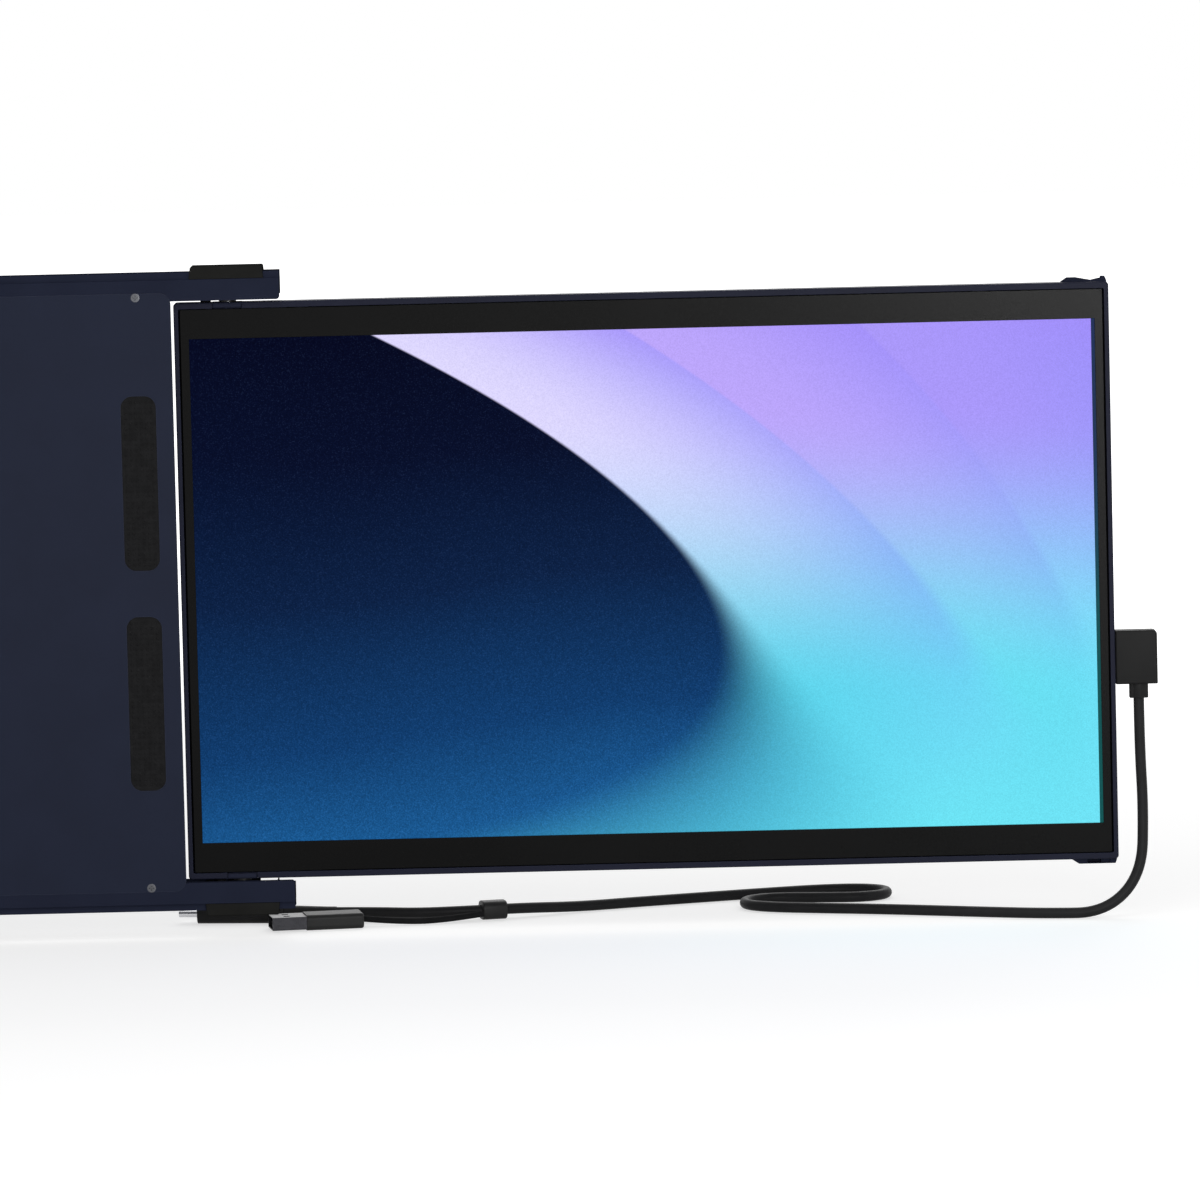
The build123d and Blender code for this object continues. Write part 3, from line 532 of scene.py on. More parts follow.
@dataclass(frozen=True)
class PowderedMetal(Edged):
    """A satin coat on aluminium, with lighter edges: a painted highlight along them, broken here and
    there by chips of wear.
    """

    cloud: Grain = Grain(55, 3)
    fine: Grain = Grain(5200, 1)
    fine_rough: float = 0.16
    fine_tint: float = 0.4
    relief: float = 0.25
    depth: float = 0.00002
    # Lighter than the coat: a painted highlight along the edges.
    edge_colour: Colour = (84, 88, 106)
    edge_share: float = 0.5
    edge_width: float = 0.00035
    edge_gloss: float = 0.08
    chips: Grain | None = Grain(700)


@dataclass(frozen=True)
class MouldedPlastic(Edged):
    """Dark plastic with the fine pits of its mould."""

    cloud_rough: float = 0.14
    fine_rough: float = 0.08
    pit_rise: tuple[float, float] = (0.35, 0.65)

    def fine_grain(self, shader: Shader) -> Value:
        """The pits at each point."""
        return super().fine_grain(shader).ease(*self.pit_rise)


@dataclass(frozen=True)
class CableJacket(Grained):
    """A satin extruded jacket: faint draw lines along it and soft dull patches."""

    cloud: Grain = Grain(160, 3)
    cloud_rough: float = 0.2
    fine: Grain = Grain(1)
    fine_rough: float = 0.1
    fine_tint: float = 0.5
    stretch: Point = (14, 60, 1)
    relief: float = 0.25
    depth: float = 0.00004

    def fine_grain(self, shader: Shader) -> Value:
        """The draw lines, on the cord's own map.

        Args:
            shader: The material's tree.

        Returns:
            The lines at each point.
        """
        inputs = {"Vector": shader.node("ShaderNodeTexCoord").outputs["UV"], "Scale": self.stretch}
        along = shader.node("ShaderNodeMapping", None, inputs).outputs["Vector"]
        return shader.noise(along, self.fine)


@dataclass(frozen=True)
class SatinMask(Grained):
    """The black mask round the picture: a smooth film with a faint ripple."""

    cloud: Grain = Grain(25)
    cloud_rough: float = 0.08
    fine: Grain = Grain(900)
    fine_rough: float = 0.05
    relief: float = 0.12


@dataclass(frozen=True)
class BrushedMetal(Grained):
    """Bare or plated metal with fine lines along one direction."""

    specular: float = 0.5
    cloud: Grain = Grain(260)
    cloud_rough: float = 0.12
    fine: Grain = Grain(9000, 3)
    fine_rough: float = 0.25
    fine_tint: float = 0.5
    stretch: Point = (1, 1, 0.05)
    relief: float = 0.2
    depth: float = 0.00001
    metallic: float = 1.0


@dataclass(frozen=True)
class SoftPad(Grained):
    """Rubber or silicone: matt, with a faint bloom and fine pores."""

    cloud: Grain = Grain(320, 4)
    cloud_rough: float = 0.15
    fine: Grain = Grain(4200, 1)
    depth: float = 0.00004


@dataclass(frozen=True)
class Felt(Finish):
    """Short tangled wool: dark gaps, paler fibres, and a soft sheen."""

    fibre_colour: Colour = (92, 92, 98)
    fibre: Grain = Grain(6000, 3)
    fibre_rise: tuple[float, float] = (0.6, 1.6)
    fibre_relief: float = 0.8
    fibre_depth: float = 0.00015
    upright: Point = (1, 1, 0.12)
    level: Point = (0.12, 1, 1)
    apart: Point = (0.3, 0, 0)
    sheen: float = 0.4

    def sockets(self, shader: Shader) -> dict[str, Any]:
        """What the surface shader takes, besides how much it reflects.

        Args:
            shader: The material's tree.

        Returns:
            A value or a link for each socket.
        """
        upright = shader.noise(shader.place(self.upright, self.apart), self.fibre)
        level = shader.noise(shader.place(self.level), self.fibre)
        fibre = (upright * level * NOISE_MIDDLE ** -2).ease(*self.fibre_rise)
        return {
            "Base Color": shader.mix(fibre, linear(self.colour), linear(self.fibre_colour)),
            "Roughness": self.roughness,
            "Normal": shader.bump(fibre, self.fibre_relief, self.fibre_depth),
            "Sheen Weight": self.sheen,
        }


@dataclass(frozen=True)
class SolderMask(Finish):
    """A green board with its copper tracks and tinned pads showing through."""

    track_colour: Colour = (24, 84, 52)
    track_pitch: float = 0.0012
    track_share: float = 0.22
    track_slant: float = 0.5
    track_rough: float = 0.05
    track_relief: float = 0.4
    track_depth: float = 0.00003
    bends: Grain = Grain(90, 0)
    pad_colour: Colour = (196, 190, 170)
    pad_pitch: float = 0.0042
    pad_share: float = 0.4 / 4.2
    pad_metal: float = 0.9

    def sockets(self, shader: Shader) -> dict[str, Any]:
        """What the surface shader takes, besides how much it reflects.

        Args:
            shader: The material's tree.

        Returns:
            A value or a link for each socket.
        """
        x, _, z = shader.axes()
        bend = (shader.noise(shader.place(), self.bends) > NOISE_MIDDLE) * 2
        lane = ((x + bend * z * self.track_slant) / self.track_pitch).repeat()
        track = (lane - 0.5).distance() < self.track_share
        grid_x, grid_z = ((place / self.pad_pitch).repeat() - 0.5 for place in (x, z))
        pad = (grid_x * grid_x + grid_z * grid_z) < self.pad_share ** 2
        tracks = shader.mix(track, linear(self.colour), linear(self.track_colour))
        return {
            "Base Color": shader.mix(pad, tracks, linear(self.pad_colour)),
            "Metallic": pad * self.pad_metal,
            "Roughness": self.roughness + track * self.track_rough,
            "Normal": shader.bump(track, self.track_relief, self.track_depth),
        }


@dataclass(frozen=True)
class RibbonFilm(Finish):
    """Amber film over a row of narrow copper lines."""

    line_colour: Colour = (206, 128, 52)
    line_pitch: float = 0.0007
    line_share: float = 0.24
    line_tint: float = 0.7
    line_relief: float = 0.3
    line_depth: float = 0.00003
    haze: Grain = Grain(400)
    haze_rough: float = 0.1

    def sockets(self, shader: Shader) -> dict[str, Any]:
        """What the surface shader takes, besides how much it reflects.

        Args:
            shader: The material's tree.

        Returns:
            A value or a link for each socket.
        """
        x, _, _ = shader.axes()
        line = ((x / self.line_pitch).repeat() - 0.5).distance() < self.line_share
        haze = shader.noise(shader.place(), self.haze)
        return {
            "Base Color": shader.mix(
                line * self.line_tint, linear(self.colour), linear(self.line_colour)
            ),
            "Roughness": self.roughness + (haze - NOISE_MIDDLE) * self.haze_rough,
            "Normal": shader.bump(line, self.line_relief, self.line_depth),
        }


@dataclass(frozen=True)
class Band:
    """One broad soft ribbon of the picture.

    It starts on a curved line that runs down to the right, bright along that
    line, and fades into the glow behind it.
    """

    start: float
    lean: float
    curl: float
    width: float
    soft: float
    crest: Colour
    crest_low: Colour


@dataclass(frozen=True)
class LitPicture(Finish):
    """A glowing panel that shows a plain gradient of broad curved ribbons."""

    left: float = 0.1286
    width: float = 0.3094
    bottom: float = -0.087
    height: float = 0.174
    shade: Stops = (
        (0.0, (26, 92, 150)), (0.22, (14, 60, 110)), (0.5, (9, 32, 68)), (0.78, (4, 12, 41)),
        (1.0, (2, 5, 31)),
    )
    shade_slant: float = 0.25
    shade_pivot: float = 0.3
    glow: Stops = (
        (0.0, (112, 230, 246)), (0.3, (112, 212, 246)), (0.52, (126, 172, 248)),
        (0.76, (150, 148, 250)), (1.0, (160, 142, 250)),
    )
    bands: tuple[Band, ...] = (
        Band(0.20, 1.10, 0.76, 0.36, 0.62, (222, 216, 255), (92, 214, 236)),
        Band(0.48, 0.86, 0.46, 0.34, 0.4, (188, 166, 251), (104, 224, 242)),
        Band(0.74, 0.56, 0.30, 0.30, 0.4, (170, 152, 250), (116, 228, 248)),
    )
    crest_rise: tuple[float, float] = (0.25, 0.85)
    crisp: float = 0.006
    soft_power: int = 5
    edge_lead: float = 0.5
    drift: Grain = Grain(9, 1)
    drift_share: float = 0.1
    specks: Grain = Grain(2500, 1)
    speck_rise: tuple[float, float] = (0.06, 0.3)
    speck_share: float = 0.34
    shade_speck_share: float = 0.9
    shade_specks: Point = (0.006, 0.010, 0.018)
    # The rim just outside the picture glows dimly in the picture's colours: painted light, as the rim
    # is no lamp.
    border_glow: Point = (0.05, 0.12, 0.1)
    border_reach: float = 1.015

    def sockets(self, shader: Shader) -> dict[str, Any]:
        """What the surface shader takes, besides how much it reflects.

        Args:
            shader: The material's tree.

        Returns:
            A value or a link for each socket.
        """
        x, _, z = shader.axes()
        across = (x - self.left) / self.width
        up = (z - self.bottom) / self.height
        shown = self.ribbons(shader, across, up)
        dim = shader.combine("MULTIPLY", shown, self.border_glow)
        border = shader.combine("MULTIPLY", dim, self._inside(across, up, self.border_reach))
        inside = self._inside(across, up, 1.0)
        return {
            "Base Color": linear(self.colour),
            "Roughness": self.roughness,
            "Emission Color": shader.mix(inside, border, shown),
            "Emission Strength": 1.0,
        }

    def ribbons(self, shader: Shader, across: Value, up: Value) -> Socket:
        """Draws the dark corner, the glow and the ribbons over it.

        Args:
            shader: The material's tree.
            across: The place across the picture, from 0 to 1.
            up: The place up the picture, from 0 to 1.

        Returns:
            The picture's colour.
        """
        fall = 1 - up
        drift = (shader.noise(shader.place(), self.drift) - NOISE_MIDDLE) * self.drift_share
        speck = shader.noise(shader.place(), self.specks) - NOISE_MIDDLE
        slant = (across - self.shade_pivot) * fall * self.shade_slant
        plain = shader.ramp(up + drift - slant, self.shade)
        specks = shader.combine("MULTIPLY", speck.ease(*self.speck_rise), self.shade_specks)
        rough = shader.combine("MULTIPLY_ADD", plain, 1 + speck * self.shade_speck_share, specks)
        colour = shader.combine("MAXIMUM", rough, (0, 0, 0))
        glow = shader.ramp(up + drift, self.glow)
        for band in self.bands:
            line = across - fall * (band.lean - fall * band.curl) - band.start
            crest_share = up.ease(*self.crest_rise)
            crest = shader.mix(crest_share, linear(band.crest_low), linear(band.crest))
            body = shader.mix((line / band.width).ease(0.0, 1.0), crest, glow)
            blur = self.crisp + fall ** self.soft_power * band.soft
            edge = (line / blur + fall * fall * self.edge_lead).ease(0.0, 1.0)
            colour = shader.mix(edge, colour, body)
        return shader.combine("MULTIPLY", colour, 1 + speck * self.speck_share)

    @staticmethod
    def _inside(across: Value, up: Value, reach: float) -> Value:
        """Tells the inside of a rectangle about the picture from its outside.

        Args:
            across: The place across the picture, from 0 to 1.
            up: The place up the picture, from 0 to 1.
            reach: The rectangle's size, where the picture's is 1.

        Returns:
            One inside, zero outside.
        """
        return ((across - 0.5).distance() < reach / 2) * ((up - 0.5).distance() < reach / 2)


class Slot(Enum):
    """The record's material slots, each with its finish."""

    # The navy finishes' lighter edge_colour is a painted highlight along their edges.
    CASE_NAVY = PowderedMetal("satin_navy_case", (33, 38, 55), 0.46, 0.08, 0.07)
    RAIL_NAVY = PowderedMetal(
        "satin_navy_rail", (39, 43, 59), 0.46, 0.0, 0.08, edge_colour=(40, 45, 66)
    )
    FRAME_NAVY = PowderedMetal(
        "satin_navy_frame", (32, 34, 49), 0.44, 0.06, 0.1, edge_colour=(48, 52, 68)
    )
    COVER_NAVY = MouldedPlastic(
        "grained_navy_cover", (34, 38, 55), 0.56, 0.1, 0.04,
        fine=Grain(2600), relief=0.35, edge_colour=(64, 68, 84),
    )
    BLOCK_BLACK = MouldedPlastic("moulded_black_block", (27, 27, 28), 0.52, 0.0)
    # Near-black edges: a painted shadow in the gap under the shoe and along its edges.
    SHOE_BLACK = MouldedPlastic(
        "grained_black_shoe", (37, 37, 36), 0.55, 0.0,
        fine=Grain(3000), edge_colour=(6, 6, 6), edge_share=0.8,
    )
    SOFT_BLACK = SoftPad("soft_black_pad", (30, 30, 31), 0.8, 0.08, 0.2)
    FELT = Felt("dark_felt", (38, 38, 42), 0.95, 0.05)
    MAGNET = BrushedMetal(
        "nickel_magnet", (146, 147, 150), 0.34, patchiness=0.04, stretch=(0.05, 1, 1)
    )
    SCREW_STEEL = BrushedMetal("blackened_screw", (86, 87, 91), 0.34, stretch=(1, 1, 1), relief=0.1)
    HINGE_STEEL = BrushedMetal("brushed_hinge_steel", (150, 151, 154), 0.34, stretch=(1, 1, 0.06))
    WASHER_BLACK = MouldedPlastic("plain_black_washer", (20, 20, 20), 0.35, 0.3, relief=0.1)
    BEZEL_BLACK = SatinMask("satin_black_mask", (9, 9, 9), 0.28, 0.07)
    PICTURE = LitPicture("lit_picture", (1, 1, 2), 0.5, 0.01)
    TRAY_METAL = BrushedMetal("pressed_tray", (200, 201, 204), 0.36, stretch=(0.05, 1, 1))
    BOARD_GREEN = SolderMask("solder_mask", (15, 58, 36), 0.3, 0.5)
    RIBBON = RibbonFilm("amber_ribbon", (150, 84, 30), 0.25, 0.5)
    SWITCH_BLACK = MouldedPlastic("plain_black_switch", (34, 34, 34), 0.5, 0.2)
    PLUG_METAL = BrushedMetal(
        "nickel_plug", (205, 205, 208), 0.25, stretch=(0.08, 1, 1), relief=0.12
    )
    PLUG_DARK = BrushedMetal(
        "black_nickel_plug", (52, 52, 55), 0.3, stretch=(0.08, 1, 1), relief=0.12
    )
    # Darker edges: painted shade along the plugs' rims.
    PLUG_BLACK = MouldedPlastic(
        "satin_black_plug", (48, 48, 48), 0.42, 0.1,
        relief=0.2, edge_colour=(20, 20, 20), edge_share=0.6,
    )
    CABLE_BLACK = CableJacket("satin_black_jacket", (43, 43, 44), 0.42, 0.05, 0.14)

    @property
    def slot_name(self) -> str:
        """The slot's name in the record."""
        return self.name.lower()


class Body(Enum):
    """The CAD bodies that pieces ride on."""

    CASE = "case"
    CARRIAGE = "carriage"
    SCREEN = "screen"
    BUTTON = "button"


class FarEnd(Enum):
    """What a cord ends in."""

    PLUG = "plug"
    CONNECTOR = "connector"


# ---- shapes that repeat -----------------------------------------------------
class Shaper(Nodes):
    """A geometry tree with named inputs, worked out into a plain mesh."""

    def __init__(self, name: str) -> None:
        """Starts a tree that takes points or a mesh and gives a mesh.

        Args:
            name: The tree's name.
        """
        super().__init__(bpy.data.node_groups.new(name, "GeometryNodeTree"))
        for way in ("INPUT", "OUTPUT"):
            self.tree.interface.new_socket("Geometry", in_out=way, socket_type="NodeSocketGeometry")
        self.entry = self.node("NodeGroupInput")
        self.start = self.entry.outputs["Geometry"]

    def size(self, name: str, kind: str = "NodeSocketFloat") -> Value:
        """Adds a named input to the tree."""
        self.tree.interface.new_socket(name, in_out="INPUT", socket_type=kind)
        return Value(self, self.entry.outputs[name])

    def vector(self, x: Any = 0.0, y: Any = 0.0, z: Any = 0.0) -> Socket:
        """A vector of three numbers."""
        return self.node("ShaderNodeCombineXYZ", None, {"X": x, "Y": y, "Z": z}).outputs[0]

    def moved(
        self, shape: Socket, by: Any = ORIGIN, turn: Point = ORIGIN, scale: Any = (1, 1, 1)
    ) -> Socket:
        """A shape scaled, turned and moved."""
        inputs = {"Geometry": shape, "Translation": by, "Rotation": turn, "Scale": scale}
        return self.node("GeometryNodeTransform", None, inputs).outputs[0]

    def on_points(self, points: Socket, shape: Socket, turn: Any = ORIGIN) -> Socket:
        """One instance of a shape on each point."""
        inputs = {"Points": points, "Instance": shape, "Rotation": turn}
        return self.node("GeometryNodeInstanceOnPoints", None, inputs).outputs[0]

    def end(self, instances: Socket, finish: Value) -> None:
        """Ends the tree: instances made real, in one material.

        Args:
            instances: What the tree has made.
            finish: The input that holds its material.
        """
        real = self.node("GeometryNodeRealizeInstances", None, {"Geometry": instances}).outputs[0]
        inputs = {"Geometry": real, "Material": finish}
        dressed = self.node("GeometryNodeSetMaterial", None, inputs).outputs[0]
        self.node("NodeGroupOutput", None, {"Geometry": dressed})

    def mesh(self, start: bpy.types.Mesh, sizes: dict[str, Any]) -> bpy.types.Mesh:
        """Works the tree out on a starting mesh.

        Args:
            start: The points or mesh that it starts from.
            sizes: A value for each named input.

        Returns:
            The finished plain mesh.
        """
        carrier = linked(self.tree.name, start)
        rig = carrier.modifiers.new(self.tree.name, "NODES")
        rig.node_group = self.tree
        for item in self.tree.interface.items_tree:
            if item.in_out == "INPUT" and item.name in sizes:
                rig[item.identifier] = sizes[item.name]
        return Maker.settled(carrier)


class ScrewTree(Shaper):
    """Screws with a cross recess, each turned to its own random angle."""

    head_sides: int = 24
    dome_rings: int = 10
    shank_sides: int = 16
    bar_width: float = 0.26
    bar_depth: float = 0.9
    # The random node's sockets for plain numbers, among those for its other kinds.
    random_most: int = 3
    random_result: int = 1

    def __init__(self) -> None:
        """Builds the tree."""
        super().__init__("screws")
        head, base, height, dome, shank, length, recess = (self.size(name) for name in (
            "Head diameter", "Base diameter", "Head height", "Dome height", "Shank diameter", "Length",
            "Recess width",
        ))
        seed = self.size("Seed", "NodeSocketInt")
        finish = self.size("Finish", "NodeSocketMaterial")
        stem = self.node("GeometryNodeMeshCylinder", None, {
            "Vertices": self.shank_sides, "Radius": shank / 2, "Depth": length - height,
        }).outputs["Mesh"]
        stem = self.moved(stem, self.vector(z=(length + height) * -0.5))
        head_shape = self.recessed(self.head(head, base, height, dome), recess)
        screw = self.node("GeometryNodeJoinGeometry", None, {"Geometry": [head_shape, stem]}).outputs[0]
        self.end(self.on_points(self.start, screw, self.turned(seed)), finish)

    def head(self, head: Value, base: Value, height: Value, dome: Value) -> Socket:
        """A screw's head: a cone or drum under a low dome.

        Args:
            head: The diameter at its top.
            base: The diameter at its foot.
            height: Its whole height.
            dome: The height of the dome.

        Returns:
            The head, with its top at the origin.
        """
        cone = self.node("GeometryNodeMeshCone", None, {
            "Vertices": self.head_sides, "Radius Top": head / 2, "Radius Bottom": base / 2,
            "Depth": height - dome,
        }).outputs["Mesh"]
        ball = self.node("GeometryNodeMeshUVSphere", None, {
            "Segments": self.head_sides, "Rings": self.dome_rings, "Radius": 1.0,
        }).outputs["Mesh"]
        size = self.vector(head / 2, head / 2, dome)
        crown = self.moved(ball, self.vector(z=dome * -1), ORIGIN, size)
        drum = self.moved(cone, self.vector(z=height * -1))
        return self.node("GeometryNodeJoinGeometry", None, {"Geometry": [drum, crown]}).outputs[0]

    def recessed(self, solid: Socket, recess: Value) -> Socket:
        """A head with a cross cut into its top.

        Args:
            solid: The plain head.
            recess: The cross's width.

        Returns:
            The cut head.
        """
        size = self.vector(recess, recess * self.bar_width, recess * self.bar_depth)
        bar = self.node("GeometryNodeMeshCube", None, {"Size": size}).outputs[0]
        cross = self.moved(bar, ORIGIN, (0, 0, math.pi / 2))
        inputs = {"Mesh 1": solid, "Mesh 2": [bar, cross], "Self Intersection": True}
        settings = {"operation": "DIFFERENCE", "solver": "EXACT"}
        return self.node("GeometryNodeMeshBoolean", settings, inputs).outputs[0]

    def turned(self, seed: Value) -> Socket:
        """How each screw is turned: its head faces out, and its cross is at random.

        Args:
            seed: The input that fixes the random turns.

        Returns:
            The rotation at each point.
        """
        settings = {"data_type": "FLOAT_VECTOR"}
        facing = self.node("GeometryNodeInputNamedAttribute", settings, {"Name": "facing"}).outputs[0]
        inputs = {"Vector": facing}
        aim = self.node("FunctionNodeAlignRotationToVector", {"axis": "Z"}, inputs).outputs[0]
        inputs = {self.random_most: 2 * math.pi, "Seed": seed}
        chance = self.node("FunctionNodeRandomValue", {"data_type": "FLOAT"}, inputs)
        inputs = {"Axis": (0, 0, 1), "Angle": chance.outputs[self.random_result]}
        spin = self.node("FunctionNodeAxisAngleToRotation", None, inputs).outputs[0]
        inputs = {"Rotation": aim, "Rotate By": spin}
        return self.node("FunctionNodeRotateRotation", {"rotation_space": "LOCAL"}, inputs).outputs[0]


class DotTree(Shaper):
    """Low round dots in rows, one field of them about each starting point."""

    dot_sides: int = 8
    dot_rings: int = 4

    def __init__(self) -> None:
        """Builds the tree."""
        super().__init__("grip_dots")
        width, height, pitch = (self.size(name) for name in ("Width", "Height", "Pitch"))
        dot, rise = self.size("Dot diameter"), self.size("Dot height")
        finish = self.size("Finish", "NodeSocketMaterial")
        columns, rows = (width / pitch).whole(), (height / pitch).whole()
        grid = self.node("GeometryNodeMeshGrid", None, {
            "Size X": columns * pitch, "Size Y": rows * pitch,
            "Vertices X": columns + 1, "Vertices Y": rows + 1,
        }).outputs["Mesh"]
        ball = self.node("GeometryNodeMeshUVSphere", None, {
            "Segments": self.dot_sides, "Rings": self.dot_rings, "Radius": 1.0,
        }).outputs["Mesh"]
        low = self.moved(ball, ORIGIN, ORIGIN, self.vector(dot / 2, dot / 2, rise))
        upright = self.moved(self.on_points(grid, low), ORIGIN, (math.pi / 2, 0, 0))
        self.end(self.on_points(self.start, upright), finish)


class BarTree(Shaper):
    """Small bars side by side, such as the contacts in a plug."""

    def __init__(self) -> None:
        """Builds the tree."""
        super().__init__("bars")
        count, pitch = self.size("Count", "NodeSocketInt"), self.size("Pitch")
        size = self.vector(*(self.size(name) for name in ("Width", "Length", "Height")))
        finish = self.size("Finish", "NodeSocketMaterial")
        start = self.vector((count - 1) * pitch * -0.5)
        inputs = {"Count": count, "Start Location": start, "Offset": self.vector(pitch)}
        row = self.node("GeometryNodeMeshLine", None, inputs).outputs[0]
        bar = self.node("GeometryNodeMeshCube", None, {"Size": size}).outputs[0]
        self.end(self.on_points(row, bar), finish)


# ---- pieces -----------------------------------------------------------------
class Maker:
    """Turns meshes into finished pieces and dresses CAD nodes."""

    merge_distance: float = 2e-6
    flat_angle: float = math.radians(0.8)
    place_digits: int = 5
    edge_angle: float = math.radians(28)
    edge_steps: int = 2

    @staticmethod
    def dressed(made: bpy.types.Object, body: Body, slot: Slot, finish: Finish, *nodes: str) -> None:
        """Gives a piece its finish, hangs it on the body that it rides on, and hides the CAD nodes that
        it stands for.

        Args:
            made: The piece.
            body: The CAD body that it rides on.
            slot: The record's slot for it; not used.
            finish: Its finish.
            nodes: The CAD nodes that it stands for.
        """
        made.data.materials.clear()
        made.data.materials.append(finish.material())
        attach(made, body.value)
        if nodes:
            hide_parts(*nodes)
        log.info("%s rides on %s, in %s", made.name, body.value, finish.name)

    @staticmethod
    def piece(
        name: str, mesh: bpy.types.Mesh, body: Body, slot: Slot, *nodes: str,
        finish: Finish | None = None,
    ) -> None:
        """Makes a piece of a mesh that is already in its place.

        Args:
            name: The piece's name.
            mesh: Its mesh.
            body: The CAD body that it rides on.
            slot: The slot whose finish it takes.
            nodes: The CAD nodes that it stands for.
            finish: Another finish than the slot's own.
        """
        Maker.dressed(linked(name, mesh), body, slot, finish or slot.value, *nodes)

    @staticmethod
    def settled(made: bpy.types.Object) -> bpy.types.Mesh:
        """The object's mesh with its modifiers worked in; the object goes.

        Args:
            made: A working object.

        Returns:
            Its finished plain mesh.
        """
        view = bpy.context.evaluated_depsgraph_get()
        mesh = bpy.data.meshes.new_from_object(made.evaluated_get(view), depsgraph=view)
        bpy.data.objects.remove(made)
        return mesh

    @staticmethod
    def merged(node: str) -> bmesh.types.BMesh:
        """A copy of a CAD node's mesh, joined up and with its flat faces whole.

        Args:
            node: The node's name.

        Returns:
            The copy, for the caller to free.
        """
        mesh = bmesh.new()
        mesh.from_mesh(frame["nodes"][node].data)
        bmesh.ops.remove_doubles(mesh, verts=mesh.verts, dist=Maker.merge_distance)
        bmesh.ops.dissolve_limit(
            mesh, angle_limit=Maker.flat_angle, verts=mesh.verts[:], edges=mesh.edges[:]
        )
        return mesh

    @staticmethod
    def plain(name: str, working: bmesh.types.BMesh) -> bpy.types.Mesh:
        """Ends work on a mesh.

        Args:
            name: The new mesh's name.
            working: The working mesh, which is freed.

        Returns:
            The plain mesh.
        """
        mesh = bpy.data.meshes.new(name)
        working.to_mesh(mesh)
        working.free()
        return mesh

    @staticmethod
    def points(name: str, places: Iterable[Sequence[float]]) -> bpy.types.Mesh:
        """A mesh of loose points, for a tree to start from.

        Args:
            name: The mesh's name.
            places: The points.

        Returns:
            The new mesh.
        """
        mesh = bpy.data.meshes.new(name)
        mesh.from_pydata(list(places), [], [])
        return mesh

    @staticmethod
    def boxes(node: str) -> list[tuple[Vector, Vector]]:
        """The lowest and highest corner of each loose solid in a CAD node, in order.

        Args:
            node: The node's name.

        Returns:
            One pair of corners for each solid.
        """
        mesh = Maker.merged(node)
        left, found = set(mesh.verts), []
        while left:
            front = [left.pop()]
            solid = list(front)
            while front:
                here = front.pop()
                fresh = [v for edge in here.link_edges for v in edge.verts if v in left]
                left.difference_update(fresh)
                front += fresh
                solid += fresh
            spans = [[vert.co[axis] for vert in solid] for axis in range(3)]
            found.append((Vector(min(s) for s in spans), Vector(max(s) for s in spans)))
        mesh.free()
        return sorted(found, key=lambda box: tuple(round(c, Maker.place_digits) for c in box[0]))

    @staticmethod
    def rounded(node: str, width: float, body: Body, slot: Slot, finish: Finish | None = None) -> None:
        """Stands in for a CAD node with the same shape, its edges slightly rounded.

        Args:
            node: The node's name.
            width: How wide its rounded edges are.
            body: The body that it rides on.
            slot: The slot whose finish it takes.
            finish: Another finish than the slot's own.
        """
        mesh = Maker.plain(node + "_work", Maker.merged(node))
        mesh.shade_smooth()
        carrier = linked(node + "_work", mesh)
        edges = carrier.modifiers.new("edges", "BEVEL")
        edges.width = width
        edges.segments = Maker.edge_steps
        edges.limit_method = "ANGLE"
        edges.angle_limit = Maker.edge_angle
        even = carrier.modifiers.new("even_faces", "WEIGHTED_NORMAL")
        even.keep_sharp = True
        Maker.piece(node + "_rounded", Maker.settled(carrier), body, slot, node, finish=finish)

    @staticmethod
    def stacked(loops: Sequence[Sequence[Vector]]) -> bpy.types.Mesh:
        """Skins a row of loops that have the same number of points, and closes its ends.

        Args:
            loops: The loops, from one end to the other.

        Returns:
            A closed mesh, smooth but for its edges.
        """
        skin = bmesh.new()
        rings = [[skin.verts.new(point) for point in loop] for loop in loops]
        for low, high in zip(rings, rings[1:]):
            for here in range(len(low)):
                after = (here + 1) % len(low)
                skin.faces.new((low[here], low[after], high[after], high[here]))
        skin.faces.new(list(reversed(rings[0])))
        skin.faces.new(rings[-1])
        bmesh.ops.recalc_face_normals(skin, faces=skin.faces[:])
        mesh = Maker.plain("stacked", skin)
        mesh.shade_smooth()
        mesh.set_sharp_from_angle(angle=MOULD_SHARP)
        return mesh

    @staticmethod
    def dress_nodes() -> None:
        """Gives every CAD node the finish of its slot in the record."""
        for part in frame["record"]["subparts"]:
            node = frame["nodes"][part["node"]]
            slot = Slot[part["material_slot"].upper()]
            node.data.materials.clear()
            node.data.materials.append(slot.value.material())
            log.info("%s is in %s", part["node"], slot.value.name)


